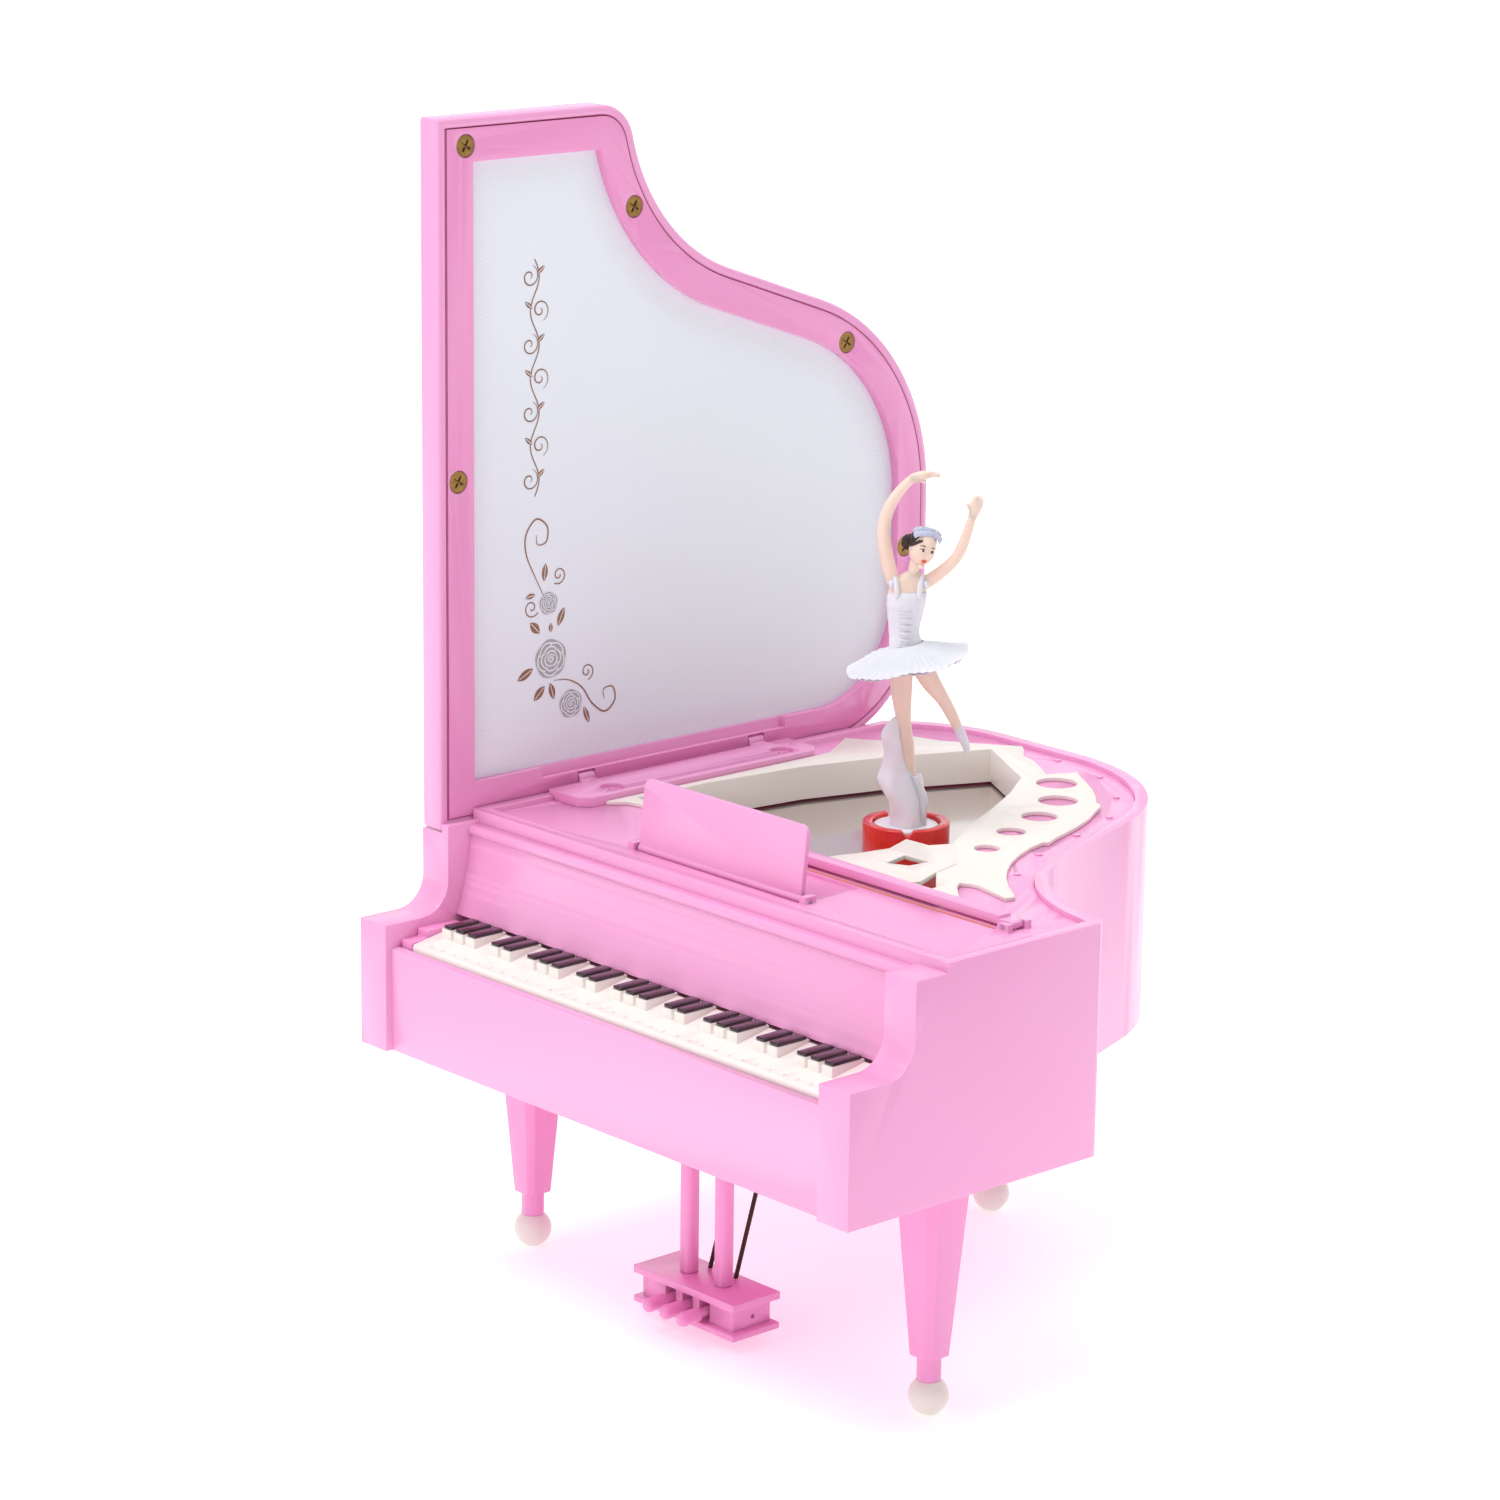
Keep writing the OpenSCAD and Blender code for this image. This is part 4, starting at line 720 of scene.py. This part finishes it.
def bodice():
    """The ribbed bodice with its straps, shoulder puffs and rows of gathers."""
    obs = [
        lathe("bodice", [(0, 0.3, 29.4, 2.5, 3.7), (0, -0.2, 32, 2.2, 3.1), (0, -0.5, 34.2, 2.15, 2.95),
                         (0.1, -0.3, 37, 2.45, 3.4), (0.2, -0.1, 39.4, 2.75, 3.75),
                         (0.1, 0.1, 41.0, 2.5, 3.75), (0, 0.2, 41.6, 2.2, 3.6)], DRESS, n=72, shape=ribbed),
    ]
    for s, y0, y1 in ((-1, -1.9, -2.3), (1, 2.3, 2.9)):
        strap = [(2.2, y0, 41.0, 0.5), (1.75, y0 + s * 0.25, 43.2, 0.55), (0.3, y1 + s * 0.2, 44.6, 0.5),
                 (-1.4, y1, 43.2, 0.5), (-1.9, y1 - s * 0.3, 41.0, 0.45)]
        obs.append(tube("strap", strap, DRESS))
        for k in range(5):
            at = (1.5 - 0.75 * k, y1 + s * (0.75 + 0.1 * (k % 2)), 43.3 + 0.25 * (k % 3))
            obs.append(blob("puff", at, (0.6, 0.55, 0.75), DRESS, n=8))
    for k in range(6):
        z = 31.2 + 1.35 * k
        wide = 1.5 + 0.09 * k
        ruche = [(1.9 + 0.12 * k, -0.4 - wide * 0.6, z, 0.2), (2.3 + 0.09 * k, -0.3, z - 0.12, 0.26),
                 (1.9 + 0.12 * k, -0.2 + wide * 0.6, z, 0.2)]
        obs.append(tube("ruche", ruche, DRESS, sides=8))
    return obs


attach(join("bodice", bodice()), "dancer")


def tutu():
    """A pleated skirt: two layers that fall away from the waist, lower on the figure's right."""
    obs = []
    drop, depth = 3.3, 0.1
    for layer, (r0, r1, z0, pleats) in enumerate(((3.0, 11.9, 31.4, 44), (2.8, 11.3, 31.0, 38))):
        verts, faces = [], []
        nr, na = 22, 440
        for side in (0, 1):
            for j in range(nr + 1):
                t = j / nr
                r = r0 + (r1 - r0) * t
                for i in range(na):
                    a = 2 * math.pi * i / na
                    fine = depth * min(1, 2 * t) * math.cos(pleats * a + 0.5 * math.sin(3 * a))
                    wave = 0.22 * t * t * math.cos(7 * a + 1.3 * layer) + 0.2 * t * math.cos(3 * a + 1)
                    rr = r * (1 + 0.012 * t * math.cos(7 * a + layer))
                    x, y = rr * math.cos(a), rr * math.sin(a)
                    lean = 0.25 if y < 0 else 0.16
                    z = z0 - drop * (1.2 * t - 0.35 * t * t) + fine + wave - 0.6 * t * max(0, math.cos(a))
                    verts.append(D(x, y + 0.3, z + y * lean - 0.16 * side * (1 - 0.4 * t)))
        half = (nr + 1) * na
        for side in (0, 1):
            for j in range(nr):
                for i in range(na):
                    a, b = side * half + j * na + i, side * half + j * na + (i + 1) % na
                    faces.append((a, b, b + na, a + na) if side == 0 else (b, a, a + na, b + na))
        for i in range(na):
            a, b = nr * na + i, nr * na + (i + 1) % na
            faces.append((a, b, b + half, a + half))
            a, b = i, (i + 1) % na
            faces.append((b, a, a + half, b + half))
        obs.append(put("skirt", verts, faces, DRESS, True, 60))
    return join("tutu", obs)


stands_for(tutu(), "dancer_tutu")

def slippers():
    return [
        tube("shoe_a", [(0.3, 0.9, 0.6, 0.8), (0.25, 0.9, 2.6, 1.05), (0.15, 0.8, 5.2, 1.25)], DRESS),
        tube("shoe_b", [(-1.0, 12.1, 9.9, 0.55), (-0.95, 11.8, 11.2, 0.8), (-0.85, 11.0, 13.0, 0.95),
                        (-0.7, 10.2, 14.8, 1.0)], DRESS),
    ]


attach(join("slippers", slippers()), "dancer")


def folds(a, t):
    return 1 + 0.1 * math.cos(2 * a + 9 * t) + 0.05 * math.cos(5 * a - 11 * t)


def pedestal():
    """The pale swirl of cloth under the figure, on its round base."""
    return [
        lathe("cloth", [(0, 0.3, -0.6, 3.9, 3.9), (0, 0.4, 1.4, 3.7, 3.8), (0, 0.3, 2.9, 3.6, 3.8),
                        (0, -0.6, 4.4, 3.4, 3.9), (-0.2, -1.5, 6.0, 3.0, 3.6), (-0.3, -1.9, 7.4, 2.3, 2.8),
                        (-0.2, -2.2, 9.4, 1.8, 2.1), (-0.1, -2.4, 11.4, 1.9, 2.3), (0, -2.8, 13.4, 1.8, 2.3),
                        (0, -2.3, 15.2, 1.3, 1.7), (0, -1.8, 16.4, 0.8, 1.0), (0, -1.7, 16.9, 0.3, 0.4)],
              CLEAR, n=48, shape=folds),
        lathe("cuff", [(0.6, 2.0, -0.6, 2.0, 2.0), (0.6, 2.0, 2.6, 1.9, 1.9), (0.4, 1.8, 5.0, 1.7, 1.75),
                       (0.3, 1.6, 6.6, 1.5, 1.55), (0.3, 1.6, 6.7, 1.2, 1.25)], CLEAR),
        lathe("base", [(0, 0, -2.0, 6.4, 6.4), (0, 0, -0.9, 6.4, 6.4), (0, 0, -0.6, 6.0, 6.0),
                       (0, 0, -0.5, 4.2, 4.2)], CLEAR),
    ]


stands_for(join("pedestal", pedestal()), "dancer_base")


# ---------------------------------------------------------------- studio
def studio():
    me = bpy.data.meshes.new("floor")
    n, prof = 24, []
    for i in range(n + 1):
        a = math.pi / 2 * i / n
        prof.append((2.2 + 1.2 * math.sin(a), 1.2 - 1.2 * math.cos(a)))
    az = CAMERA_AZIMUTH
    fwd = Vector((-math.sin(az), math.cos(az), 0))
    side = Vector((math.cos(az), math.sin(az), 0))
    pts = [(-4.0, 0.0)] + prof + [(3.4, 5.0)]
    verts, faces = [], []
    for d, z in pts:
        for s in (-6, 6):
            verts.append(tuple(fwd * d + side * s + Vector((0, 0, z))))
    for i in range(len(pts) - 1):
        faces.append((2 * i, 2 * i + 1, 2 * i + 3, 2 * i + 2))
    pale = material("floor", (253, 253, 253), 0.7, vary=0)
    surface = pale.node_tree.nodes["Principled BSDF"].inputs
    surface["Emission Color"].default_value = (1, 1, 1, 1)
    surface["Emission Strength"].default_value = 0.3
    fl = put("floor", verts, faces, pale, True, 60)
    world = bpy.data.worlds.new("studio")
    bpy.context.scene.world = world
    world.use_nodes = True
    bg = world.node_tree.nodes["Background"]
    bg.inputs["Color"].default_value = (0.97, 0.98, 1, 1)
    bg.inputs["Strength"].default_value = 0.52
    for name, loc, aim, size, power in (
        ("key", (-0.2, -0.6, 1.9), (0, 0, 0.1), 1.2, 22), ("fill", (-0.3, -1.8, 0.6), (0, 0, 0.1), 1.4, 5),
        ("back", (0.3, 1.0, 1.7), (0, 0, 0.1), 1.0, 7),
    ):
        li = bpy.data.lights.new(name, "AREA")
        li.size, li.energy = size, power
        ob = bpy.data.objects.new(name, li)
        bpy.context.scene.collection.objects.link(ob)
        ob.location = loc
        ob.rotation_euler = (Vector(aim) - Vector(loc)).to_track_quat("-Z", "Y").to_euler()
    bpy.context.scene.view_settings.view_transform = "Standard"


studio()
